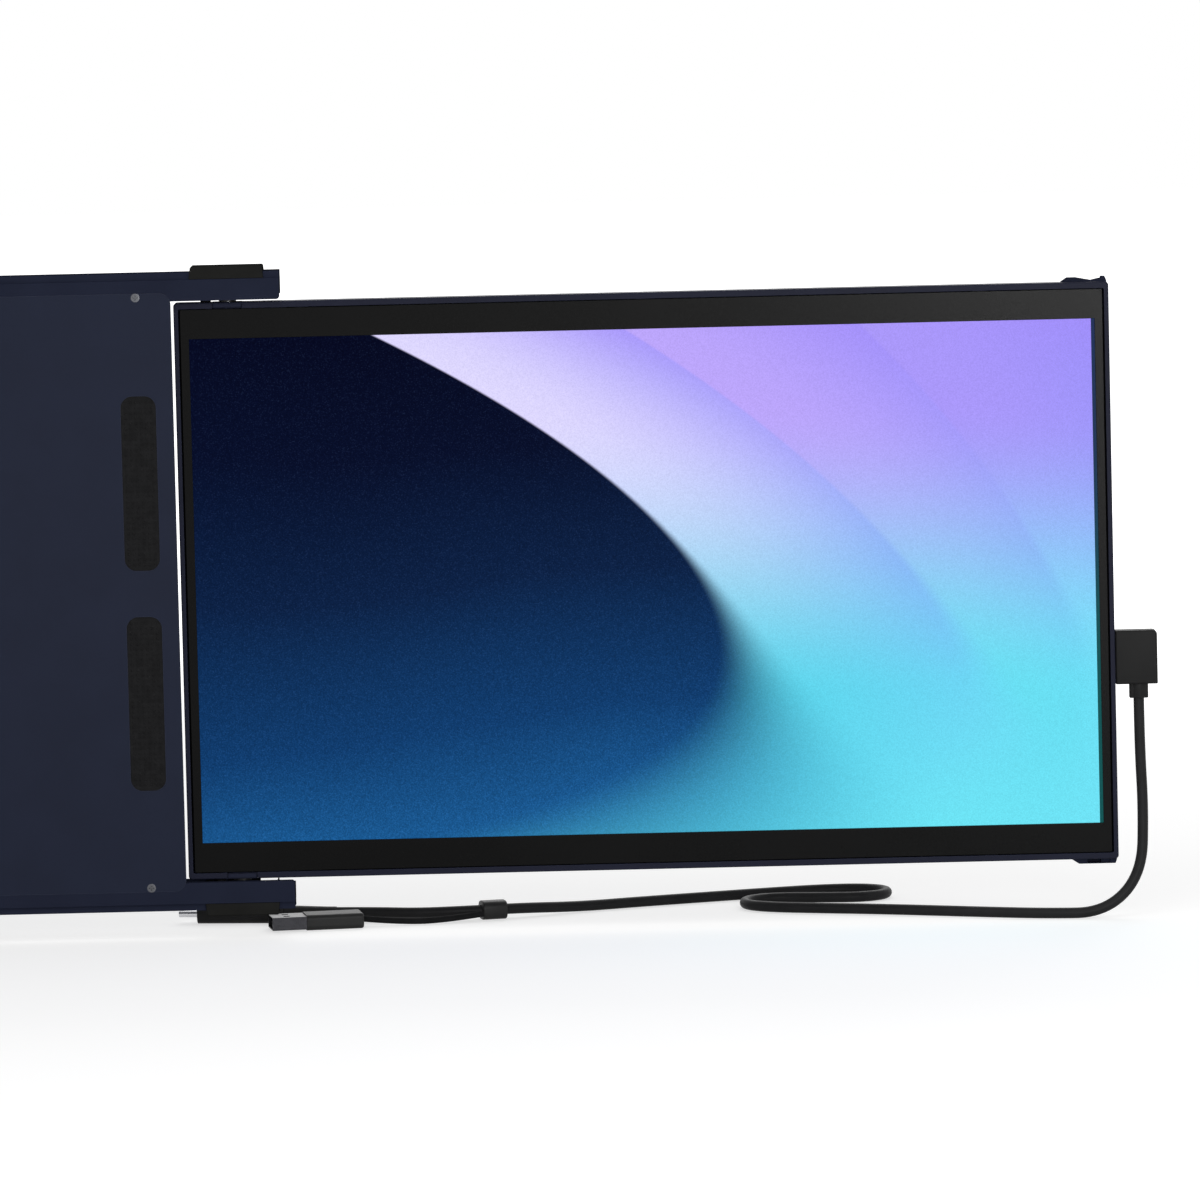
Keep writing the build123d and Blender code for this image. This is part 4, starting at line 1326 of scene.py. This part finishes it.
@dataclass(frozen=True)
class ScrewSet:
    """The screws of one CAD node."""

    node: str
    body: Body
    facing: Point
    head: float = 0.0007
    countersunk: bool = True
    dome: float = 0.00004
    shank: float = 0.0016
    recess: float = 0.0017
    seed: int = 7

    def build(self, tree: ScrewTree) -> None:
        """Makes the screws where the CAD node has them.

        Args:
            tree: The shared tree of screws.
        """
        boxes = Maker.boxes(self.node)
        aims = [self._aim(low, high) for low, high in boxes]
        tops = (self._top(box, aim) for box, aim in zip(boxes, aims))
        points = Maker.points(self.node + "_points", tops)
        facing = points.attributes.new("facing", "FLOAT_VECTOR", "POINT")
        for item, aim in zip(facing.data, aims):
            item.vector = aim
        size = boxes[0][1] - boxes[0][0]
        along = [axis for axis in range(3) if self.facing[axis]][0]
        across = max(size[axis] for axis in range(3) if axis != along)
        mesh = tree.mesh(points, {
            "Head diameter": across, "Base diameter": self.shank if self.countersunk else across,
            "Head height": self.head, "Dome height": self.dome, "Shank diameter": self.shank,
            "Length": size[along], "Recess width": self.recess, "Seed": self.seed,
            "Finish": Slot.SCREW_STEEL.value.material(),
        })
        mesh.shade_smooth()
        mesh.set_sharp_from_angle(angle=SCREW_SHARP)
        Maker.piece(self.node + "_crossed", mesh, self.body, Slot.SCREW_STEEL, self.node)

    def _aim(self, low: Vector, high: Vector) -> Vector:
        """The way a screw's head faces; screws in the two rails face apart."""
        aim = Vector(self.facing)
        return -aim if aim.z and low.z + high.z < 0 else aim

    @staticmethod
    def _top(box: tuple[Vector, Vector], aim: Vector) -> Vector:
        """The middle of a screw's head.

        Args:
            box: The screw's lowest and highest corner.
            aim: The way its head faces.

        Returns:
            The point.
        """
        low, high = box
        reach = (high - low) * 0.5
        return (low + high) * 0.5 + Vector(a * r for a, r in zip(aim, reach))


# ---- the case ---------------------------------------------------------------
@dataclass
class Case:
    """The plate and rails behind the lid, with their pads, magnets and screws."""

    body: Body = Body.CASE
    plate_edge: float = 0.0003
    rail_edge: float = 0.0003
    block_edge: float = 0.0003
    magnet_edge: float = 0.00025
    pad_drop: float = 0.00018
    pad_margin: float = 0.0014
    pad_face: float = 1e-5
    dot_pitch: float = 0.0018
    dot_diameter: float = 0.0011
    screws: tuple[ScrewSet, ...] = (
        ScrewSet("plate_screws", Body.CASE, (0, -1, 0), seed=3),
        ScrewSet("rail_screws", Body.CASE, (0, 1, 0), seed=5),
    )

    def build(self, screw_tree: ScrewTree) -> None:
        """Makes the case's pieces.

        Args:
            screw_tree: The shared tree of screws.
        """
        Maker.rounded("front_plate", self.plate_edge, self.body, Slot.CASE_NAVY)
        for side in ("top", "bottom"):
            for wall in ("front_rail", "rear_rail"):
                Maker.rounded(f"{side}_{wall}", self.rail_edge, self.body, Slot.RAIL_NAVY)
            for end in ("left_end_block", "right_end_block"):
                Maker.rounded(f"{side}_{end}", self.block_edge, self.body, Slot.BLOCK_BLACK)
        Maker.rounded("lid_magnets", self.magnet_edge, self.body, Slot.MAGNET)
        for screws in self.screws:
            screws.build(screw_tree)
        self.pads()

    def pads(self) -> None:
        """Makes the grip pads, with fields of low dots on their faces."""
        boxes = Maker.boxes("lid_pads")
        base = Maker.merged("lid_pads")
        front = min(low.y for low, _ in boxes)
        for vert in base.verts:
            if vert.co.y - front < self.pad_face:
                vert.co.y += self.pad_drop
        mesh = Maker.plain("pads_work", base)
        mesh.set_sharp_from_angle(angle=MOULD_SHARP)
        Maker.piece("grip_pads", mesh, self.body, Slot.SOFT_BLACK, "lid_pads")
        level = front + self.pad_drop
        centres = (((low.x + high.x) / 2, level, (low.z + high.z) / 2) for low, high in boxes)
        size = boxes[0][1] - boxes[0][0]
        dots = DotTree().mesh(Maker.points("pad_points", centres), {
            "Width": size.x - 2 * self.pad_margin, "Height": size.z - 2 * self.pad_margin,
            "Pitch": self.dot_pitch, "Dot diameter": self.dot_diameter, "Dot height": self.pad_drop,
            "Finish": Slot.SOFT_BLACK.value.material(),
        })
        dots.shade_smooth()
        Maker.piece("pad_dots", dots, self.body, Slot.SOFT_BLACK)


# ---- the carriage -----------------------------------------------------------
@dataclass
class Carriage:
    """The sliding shoes, blocks and hinge pins."""

    body: Body = Body.CARRIAGE
    shoe_edge: float = 0.0003
    block_edge: float = 0.0002
    pin_edge: float = 0.00012
    screws: ScrewSet = ScrewSet(
        "shoe_screws", Body.CARRIAGE, (0, 0, 1), head=0.00055, countersunk=False, dome=0.0002, seed=11
    )

    def build(self, screw_tree: ScrewTree) -> None:
        """Makes the carriage's pieces.

        Args:
            screw_tree: The shared tree of screws.
        """
        for side in ("top", "bottom"):
            Maker.rounded(f"{side}_slider_shoe", self.shoe_edge, self.body, Slot.SHOE_BLACK)
            Maker.rounded(f"{side}_carriage_block", self.block_edge, self.body, Slot.BLOCK_BLACK)
            Maker.rounded(f"{side}_hinge_pin", self.pin_edge, self.body, Slot.HINGE_STEEL)
        self.screws.build(screw_tree)


# ---- the screen -------------------------------------------------------------
@dataclass
class Screen:
    """The portable screen: its frame, cover, mask, guides, leaves and key."""

    body: Body = Body.SCREEN
    frame_edge: float = 0.0002
    cover_edge: float = 0.00015
    mask_edge: float = 0.00012
    guide_edge: float = 0.0002
    leaf_edge: float = 0.0003
    key_edge: float = 0.00012
    screws: ScrewSet = ScrewSet("cover_screws", Body.SCREEN, (0, 1, 0), seed=17)
    # Darker edges: painted shade along the guides' edges.
    guide_finish: Finish = MouldedPlastic(
        "moulded_navy_guide", (38, 41, 56), 0.5, 0.0, edge_colour=(14, 15, 24), edge_share=0.6
    )
    # Near-black wide edges: a painted shadow in the seams round the leaf.
    leaf_finish: Finish = PowderedMetal(
        "satin_navy_leaf", (43, 46, 62), 0.44, 0.0,
        edge_colour=(1, 1, 2), edge_share=1.25, edge_width=0.0012,
    )

    def build(self, screw_tree: ScrewTree) -> None:
        """Makes the screen's pieces.

        Args:
            screw_tree: The shared tree of screws.
        """
        Maker.rounded("screen_frame", self.frame_edge, self.body, Slot.FRAME_NAVY)
        Maker.rounded("back_cover", self.cover_edge, self.body, Slot.COVER_NAVY)
        Maker.rounded("front_bezel", self.mask_edge, self.body, Slot.BEZEL_BLACK)
        for side in ("top", "bottom"):
            guide, leaf = f"{side}_corner_guide", f"{side}_hinge_leaf"
            Maker.rounded(guide, self.guide_edge, self.body, Slot.SHOE_BLACK, self.guide_finish)
            Maker.rounded(leaf, self.leaf_edge, self.body, Slot.FRAME_NAVY, self.leaf_finish)
        Maker.rounded("menu_button", self.key_edge, Body.BUTTON, Slot.FRAME_NAVY)
        self.screws.build(screw_tree)


# ---- plugs and what hangs on the cord ---------------------------------------
class Ring:
    """Loops of points for moulded pieces that are round or nearly so."""

    @staticmethod
    def reach(angle: float, half_x: float, half_y: float, power: float) -> float:
        """From the middle of a soft-cornered box to its side.

        Args:
            angle: The way to look, in radians from X.
            half_x: Half its width.
            half_y: Half its height.
            power: How square its corners are; 2 is an ellipse.

        Returns:
            The distance.
        """
        across, up = abs(math.cos(angle)) / half_x, abs(math.sin(angle)) / half_y
        return (across ** power + up ** power) ** (-1 / power)

    @staticmethod
    def angles(steps: int) -> list[float]:
        """Even steps once round, in radians."""
        return [2 * math.pi * step / steps for step in range(steps)]

    @staticmethod
    def across(centre: Vector, way: Vector, reaches: Sequence[float]) -> list[Vector]:
        """A loop square to a level line.

        Args:
            centre: The point on the line.
            way: The line's direction.
            reaches: How far out the loop is, in even steps round the line.

        Returns:
            The loop's points.
        """
        side = way.cross(UP)
        return [
            centre + side * reach * math.cos(angle) + Vector((0, 0, reach * math.sin(angle)))
            for angle, reach in zip(Ring.angles(len(reaches)), reaches)
        ]

    @staticmethod
    def rim(size: float, degrees: Sequence[float]) -> list[tuple[float, float]]:
        """A quarter-round edge, from a piece's end to its side.

        Args:
            size: The edge's radius.
            degrees: Its turn at each loop.

        Returns:
            For each loop, how far it is from the end and how far in from the side.
        """
        turns = [math.radians(degree) for degree in degrees]
        return [(size * (1 - math.cos(turn)), size * (1 - math.sin(turn))) for turn in turns]

    @staticmethod
    def mirrored(layers: list[tuple[float, float]], middle: float) -> list[tuple[float, float]]:
        """Layers and their mirror image beyond the middle."""
        return layers + [(2 * middle - place, inset) for place, inset in reversed(layers)]


@dataclass
class Plugs:
    """The moulded plugs, their metal shells and the adapter."""

    body: Body = Body.SCREEN
    plug_edge: float = 0.0003
    elbow_corner: float = 0.0015
    elbow_foot: float = 0.0004
    elbow_least: float = 0.00005
    elbow_round: float = 0.0006
    elbow_turns: tuple[float, ...] = (0, 20, 45, 70, 90)
    corner_steps: int = 6
    seam_width: float = 0.00028
    seam_depth: float = 0.00012
    sleeve_waist: float = 0.0021
    sleeve_belly: float = 0.0028
    sleeve_rim: float = 0.0003
    sleeve_soft: float = 0.3
    sleeve_power: int = 8
    collar_way: Point = (-0.96736, -0.25335, 0.0)
    collar_halves: Point = (0.00435, 0.004, 0.0033)
    collar_rim: float = 0.0005
    collar_turns: tuple[float, ...] = (0, 22.5, 45, 67.5, 90)
    collar_power: float = 3.2
    band_steps: int = 64
    cord_end: Point = (0.173, 0.0402, -0.11655)
    cord_way: Point = (-0.98788, 0.15524, 0.0)
    relief_lip: float = 0.0002
    relief_length: float = 0.019
    relief_radii: tuple[float, float] = (0.00205, 0.0025)
    relief_shares: tuple[float, ...] = (0.2, 0.4, 0.6, 0.8, 1.0)
    relief_steps: int = 32
    adapter_start: Point = (0.182, 0.0268, -0.1173)
    adapter_way: Point = (-0.98586, -0.1676, 0.0)
    adapter_length: float = 0.02
    contact_count: int = 4
    contact_pitch: float = 0.0024
    contact_size: Point = (0.0012, 0.0075, 0.0002)
    contact_reach: float = 0.0058
    contact_rise: float = 0.00005
    # A darker copy of the plugs' black: painted shade, toned down where the sheen lamp lights the elbow
    # more. Its near-black rims are painted shade too.
    elbow_finish: Finish = MouldedPlastic(
        "satin_black_elbow_shaded", (31, 31, 31), 0.46, 0.08,
        relief=0.2, edge_colour=(12, 12, 12), edge_share=0.6,
    )
    # A darker copy of the plugs' black, toned on its own to how the neck is lit: painted shade. Its
    # near-black rims are painted shade too.
    neck_finish: Finish = MouldedPlastic(
        "satin_black_neck_shaded", (36, 36, 36), 0.46, 0.08,
        relief=0.2, edge_colour=(12, 12, 12), edge_share=0.6,
    )
    contact_finish: Finish = BrushedMetal("gilt_contact", (212, 170, 92), 0.24, stretch=(1, 1, 1))

    def build(self) -> None:
        """Makes the plugs, and what the cable and the strap carry."""
        self.elbow()
        self.sleeve()
        self.relief()
        Maker.rounded("laptop_plug", self.plug_edge, self.body, Slot.PLUG_BLACK)
        self.collar()
        Maker.rounded("adapter_body", self.plug_edge, self.body, Slot.PLUG_BLACK)
        self.contacts()

    def moulded(
        self, name: str, node: str, loops: Sequence[Sequence[Vector]], finish: Finish | None = None
    ) -> None:
        """Makes one moulded black piece of its loops.

        Args:
            name: The piece's name.
            node: The CAD node that it stands for.
            loops: Its loops, from one end to the other.
            finish: Another finish than the plugs' own.
        """
        Maker.piece(name, Maker.stacked(loops), self.body, Slot.PLUG_BLACK, node, finish=finish)

    def elbow(self) -> None:
        """Makes the right-angle plug: two halves that meet in a fine seam."""
        low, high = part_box("elbow_plug")
        middle = (low.y + high.y) / 2
        half = self.seam_width / 2
        rim = Ring.rim(self.elbow_round, self.elbow_turns)
        layers = [(low.y + rise, inset) for rise, inset in rim]
        layers += [(middle - half, 0.0), (middle - half / 2, self.seam_depth)]
        loops = [
            [Vector((x, place, z)) for x, z in self._elbow_outline(low, high, inset)]
            for place, inset in Ring.mirrored(layers, middle)
        ]
        self.moulded("elbow_body", "elbow_plug", loops, self.elbow_finish)

    def _elbow_outline(self, low: Vector, high: Vector, inset: float) -> list[tuple[float, float]]:
        """The elbow's outline from the front.

        Args:
            low: The elbow's lowest corner.
            high: Its highest corner.
            inset: How far the outline is drawn in.

        Returns:
            The outline's points, across and up.
        """
        corners = [
            (high.x, high.z, self.elbow_corner, 0.0), (low.x, high.z, self.elbow_foot, 90.0),
            (low.x, low.z, self.elbow_foot, 180.0), (high.x, low.z, self.elbow_foot, 270.0),
        ]
        middle_x, middle_z = (low.x + high.x) / 2, (low.z + high.z) / 2
        points = []
        for x, z, radius, start in corners:
            radius = max(radius - inset, self.elbow_least)
            centre_x = x - math.copysign(1, x - middle_x) * (inset + radius)
            centre_z = z - math.copysign(1, z - middle_z) * (inset + radius)
            for step in range(self.corner_steps + 1):
                angle = math.radians(start + 90 / self.corner_steps * step)
                side_x, side_z = radius * math.cos(angle), radius * math.sin(angle)
                points.append((centre_x + side_x, centre_z + side_z))
        return points

    def sleeve(self) -> None:
        """Makes the neck under the elbow: a flat sleeve with the cable's belly in it."""
        low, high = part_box("elbow_sleeve")
        centre = (low + high) / 2
        half_x, rim = (high.x - low.x) / 2, self.sleeve_rim
        soft = rim * self.sleeve_soft
        layers = [(high.z, 0.0), (low.z + rim, 0.0), (low.z + soft, soft), (low.z, rim)]
        loops: list[list[Vector]] = [[] for _ in layers]
        for angle in Ring.angles(self.band_steps):
            flat = Ring.reach(angle, half_x, self.sleeve_waist, self.sleeve_power)
            for loop, (level, inset) in zip(loops, layers):
                reach = max(flat, self.sleeve_belly) - inset
                x, y = centre.x + reach * math.cos(angle), centre.y + reach * math.sin(angle)
                loop.append(Vector((x, y, level)))
        self.moulded("elbow_neck", "elbow_sleeve", loops, self.neck_finish)

    def relief(self) -> None:
        """Makes the smooth strain relief between the cable and the laptop plug."""
        start, end = self.relief_radii
        profile = [(0.0, start - self.relief_lip), (self.relief_lip, start)]
        for share in self.relief_shares:
            swell = (end - start) * share * share * (3 - 2 * share)
            profile.append((self.relief_length * share, start + swell))
        way = Vector(self.cord_way).normalized()
        loops = [
            Ring.across(Vector(self.cord_end) + way * along, way, [radius] * self.relief_steps)
            for along, radius in profile
        ]
        self.moulded("relief_cone", "laptop_relief", loops)

    def collar(self) -> None:
        """Makes the collar round the cable: an oval band with soft rims."""
        low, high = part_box("tether_collar")
        half_length, half_width, half_height = self.collar_halves
        side = [
            Ring.reach(angle, half_width, half_height, self.collar_power)
            for angle in Ring.angles(self.band_steps)
        ]
        rim = Ring.rim(self.collar_rim, self.collar_turns)
        layers = [(rise - half_length, inset) for rise, inset in rim]
        way = Vector(self.collar_way).normalized()
        loops = [
            Ring.across((low + high) / 2 + way * place, way, [reach - inset for reach in side])
            for place, inset in Ring.mirrored(layers, 0.0)
        ]
        self.moulded("cable_collar", "tether_collar", loops)

    def contacts(self) -> None:
        """Lays the gilt contacts on the adapter's tongue."""
        width, length, height = self.contact_size
        bars = BarTree().mesh(bpy.data.meshes.new("no_points"), {
            "Count": self.contact_count, "Pitch": self.contact_pitch, "Width": width, "Length": length,
            "Height": height, "Finish": self.contact_finish.material(),
        })
        way = Vector(self.adapter_way).normalized()
        turn = Matrix((way.cross(UP), way, UP)).transposed().to_4x4()
        reach = self.adapter_length + self.contact_reach
        centre = Vector(self.adapter_start) + way * reach + UP * self.contact_rise
        bars.transform(Matrix.Translation(centre) @ turn)
        Maker.piece("adapter_contacts", bars, self.body, Slot.PLUG_METAL, finish=self.contact_finish)


# ---- the cords --------------------------------------------------------------
@dataclass(frozen=True)
class Cord:
    """A limp round cord that lies loose, with the pieces that are on it."""

    name: str
    node: str
    slot: Slot
    finish: Finish
    diameter: float
    length: float
    far_end: FarEnd
    pieces: tuple[str, ...]
    route: tuple[Point, ...]
    line_steps: int = 10
    round_steps: int = 6

    def curve(self) -> bpy.types.Curve:
        """The cord's smooth line, with its thickness.

        Returns:
            The curve.
        """
        curve = bpy.data.curves.new(self.name, "CURVE")
        curve.dimensions = "3D"
        curve.resolution_u = self.line_steps
        curve.render_resolution_u = self.line_steps
        curve.bevel_depth = self.diameter / 2
        curve.bevel_resolution = self.round_steps
        curve.use_fill_caps = True
        spline = curve.splines.new("NURBS")
        spline.points.add(len(self.route) - 1)
        for point, place in zip(spline.points, self.route):
            point.co = (*place, 1.0)
        spline.order_u = 3
        spline.use_endpoint_u = True
        return curve

    def build(self, body: Body) -> None:
        """Makes the cord.

        Args:
            body: The CAD body that it rides on.
        """
        made = linked(self.name, self.curve())
        Maker.dressed(made, body, self.slot, self.finish, self.node)


@dataclass
class Cable:
    """The cable from the elbow plug to the laptop plug, and the adapter's strap."""

    body: Body = Body.SCREEN
    cable: Cord = Cord(
        "cable", "usb_cable", Slot.CABLE_BLACK, Slot.CABLE_BLACK.value, 0.0037, 0.4905, FarEnd.PLUG,
        ("relief_cone", "laptop_plug_rounded", "laptop_shell", "cable_collar"),
        (
            (0.4523, 0.0070, -0.0443), (0.4523, 0.0070, -0.0610), (0.4532, 0.0069, -0.0830),
            (0.4522, 0.0055, -0.1056), (0.4392, 0.0024, -0.1181), (0.4190, 0.0040, -0.1181),
            (0.4000, 0.0110, -0.1181), (0.3800, 0.0195, -0.1181), (0.3600, 0.0275, -0.1181),
            (0.3410, 0.0335, -0.1181), (0.3240, 0.0395, -0.1181), (0.3155, 0.0480, -0.1181),
            (0.3158, 0.0595, -0.1181), (0.3255, 0.0665, -0.1181), (0.3420, 0.0640, -0.1181),
            (0.3565, 0.0620, -0.1181), (0.3658, 0.0690, -0.1181), (0.3663, 0.0805, -0.1181),
            (0.3575, 0.0875, -0.1181), (0.3420, 0.0870, -0.1181), (0.3230, 0.0806, -0.1181),
            (0.3020, 0.0725, -0.1181), (0.2790, 0.0635, -0.1181), (0.2575, 0.0535, -0.1181),
            (0.2380, 0.0420, -0.1167), (0.2170, 0.0365, -0.1167), (0.2010, 0.0364, -0.1170),
            (0.1870, 0.0380, -0.11655), (0.1730, 0.0402, -0.11655),
        ),
    )
    strap: Cord = Cord(
        "adapter_strap", "tether_strap", Slot.PLUG_BLACK, Slot.SOFT_BLACK.value, 0.0022, 0.0435,
        FarEnd.CONNECTOR, ("adapter_body_rounded", "adapter_shell", "adapter_contacts"),
        (
            (0.2240, 0.0344, -0.1175), (0.2110, 0.0290, -0.1187), (0.1960, 0.0266, -0.1187),
            (0.1820, 0.0268, -0.1173),
        ),
    )

    def build(self) -> None:
        """Makes the cable and then the strap."""
        self.cable.build(self.body)
        self.strap.build(self.body)


# ---- camera, lamps and floor ------------------------------------------------
@dataclass(frozen=True)
class Lamp:
    """A soft square lamp that faces the object."""

    name: str
    place: Point
    size: float
    power: float

    def hang(self, target: Point) -> None:
        """Hangs the lamp.

        Args:
            target: The point that it faces.
        """
        data = bpy.data.lights.new(self.name, "AREA")
        data.size = self.size
        data.energy = self.power
        made = linked(self.name, data)
        made.location = self.place
        made.visible_camera = False
        way = Vector(target) - Vector(self.place)
        made.rotation_euler = way.to_track_quat("-Z", "Y").to_euler()


@dataclass
class Studio:
    """The pale floor, the lamps and the camera."""

    floor_level: float = -0.12
    floor_half: float = 6.0
    floor_grey: float = 0.7
    shadow_grey: float = 0.6
    glow_near: float = 0.6
    glow_far: float = 1.2
    glow_rise: tuple[float, float] = (0.55, 1.3)
    room_light: float = 0.38
    target: Point = (0.267485, 0.0035, -0.006018)
    distance: float = 3.0
    pitch: float = -5.0
    yaw: float = -0.209
    roll: float = -1.346
    lens: float = 261.68
    sensor: float = 36.0
    sight: float = 100.0
    lamp_target: Point = (0.2, 0, 0)
    lamps: tuple[Lamp, ...] = (
        Lamp("key_lamp", (-0.6, -1.7, 1.7), 1.4, 9.0),
        Lamp("side_lamp", (1.9, -0.9, 1.1), 1.1, 4.0),
        Lamp("back_lamp", (0.5, 1.9, 1.3), 1.4, 14.0),
        Lamp("sheen_lamp", (0.58, -1.3, 0.14), 0.25, 5.3),
    )

    def build(self) -> None:
        """Sets up the whole studio."""
        self.camera()
        self.floor()
        self.world()
        for lamp in self.lamps:
            lamp.hang(self.lamp_target)

    def camera(self) -> None:
        """Places the camera on its line to the target, turned by its roll."""
        pitch, yaw, roll = (math.radians(a) for a in (self.pitch, self.yaw, self.roll))
        flat = math.cos(pitch)
        ahead = Vector((math.sin(yaw) * flat, math.cos(yaw) * flat, math.sin(pitch)))
        level = Vector((math.cos(yaw), -math.sin(yaw), 0.0))
        over = level.cross(ahead)
        right = level * math.cos(roll) + over * math.sin(roll)
        up = over * math.cos(roll) - level * math.sin(roll)
        data = bpy.data.cameras.new("camera")
        data.lens = self.lens
        data.sensor_width = self.sensor
        data.clip_end = self.sight
        camera = linked("camera", data)
        turn = Matrix((right, up, -ahead)).transposed().to_4x4()
        camera.matrix_world = Matrix.Translation(Vector(self.target) - ahead * self.distance) @ turn
        bpy.context.scene.camera = camera

    def floor(self) -> None:
        """Lays the floor, with a soft shadow on it."""
        half = self.floor_half
        corners = [(-half, -half), (half, -half), (half, half), (-half, half)]
        mesh = bpy.data.meshes.new("floor")
        mesh.from_pydata([(x, y, self.floor_level) for x, y in corners], [], [(0, 1, 2, 3)])
        material = bpy.data.materials.new("white_floor")
        material.use_nodes = True
        self.paint_floor(Shader(material.node_tree))
        mesh.materials.append(material)
        linked("floor", mesh)

    def paint_floor(self, shader: Shader) -> None:
        """Makes the floor grey for lamplight, white where it is seen, and clear from below.

        Args:
            shader: The floor's material.
        """
        grey, shadow = (
            shader.node("ShaderNodeBsdfDiffuse", None, {"Color": (tone, tone, tone, 1)})
            for tone in (self.floor_grey, self.shadow_grey)
        )
        near, far = (
            shader.node("ShaderNodeEmission", None, {"Color": WHITE, "Strength": strength})
            for strength in (self.glow_near, self.glow_far)
        )
        x, y, _ = shader.axes()
        away = ((x * x + y * y) ** 0.5).ease(*self.glow_rise)
        glow = shader.blended(away, near, far)
        white = shader.node("ShaderNodeAddShader", None, {0: glow.outputs[0], 1: shadow.outputs[0]})
        shown = shader.blended(self._seen(shader), grey, white)
        under = shader.node("ShaderNodeNewGeometry").outputs["Backfacing"]
        both = shader.blended(under, shown, shader.node("ShaderNodeBsdfTransparent"))
        shader.node("ShaderNodeOutputMaterial", None, {"Surface": both.outputs[0]})

    @staticmethod
    def _seen(shader: Shader) -> Value:
        """Tells rays that come straight from the camera, a mirror or glass.

        Args:
            shader: The material's tree.

        Returns:
            One for such rays, zero for others.
        """
        path = shader.node("ShaderNodeLightPath").outputs
        camera, glossy, through = (
            Value(shader, path[f"Is {kind} Ray"]) for kind in ("Camera", "Glossy", "Transmission")
        )
        return camera + glossy + through > 0.5

    def world(self) -> None:
        """Lights the room softly, and shows it white."""
        world = bpy.data.worlds.new("room")
        world.use_nodes = True
        shader = Shader(world.node_tree)
        strength = self.room_light + self._seen(shader) * (1 - self.room_light)
        back = shader.node("ShaderNodeBackground", None, {"Color": WHITE, "Strength": strength})
        shader.node("ShaderNodeOutputWorld", None, {"Surface": back.outputs[0]})
        bpy.context.scene.world = world


def main() -> None:
    """Builds every sub-assembly in order."""
    bpy.context.scene.view_settings.view_transform = "Standard"
    Studio().build()
    Maker.dress_nodes()
    screw_tree = ScrewTree()
    Case().build(screw_tree)
    Carriage().build(screw_tree)
    Screen().build(screw_tree)
    Plugs().build()
    Cable().build()


if __name__ == "__main__":
    logging.basicConfig(level=logging.INFO, format="%(name)s: %(message)s")
    main()
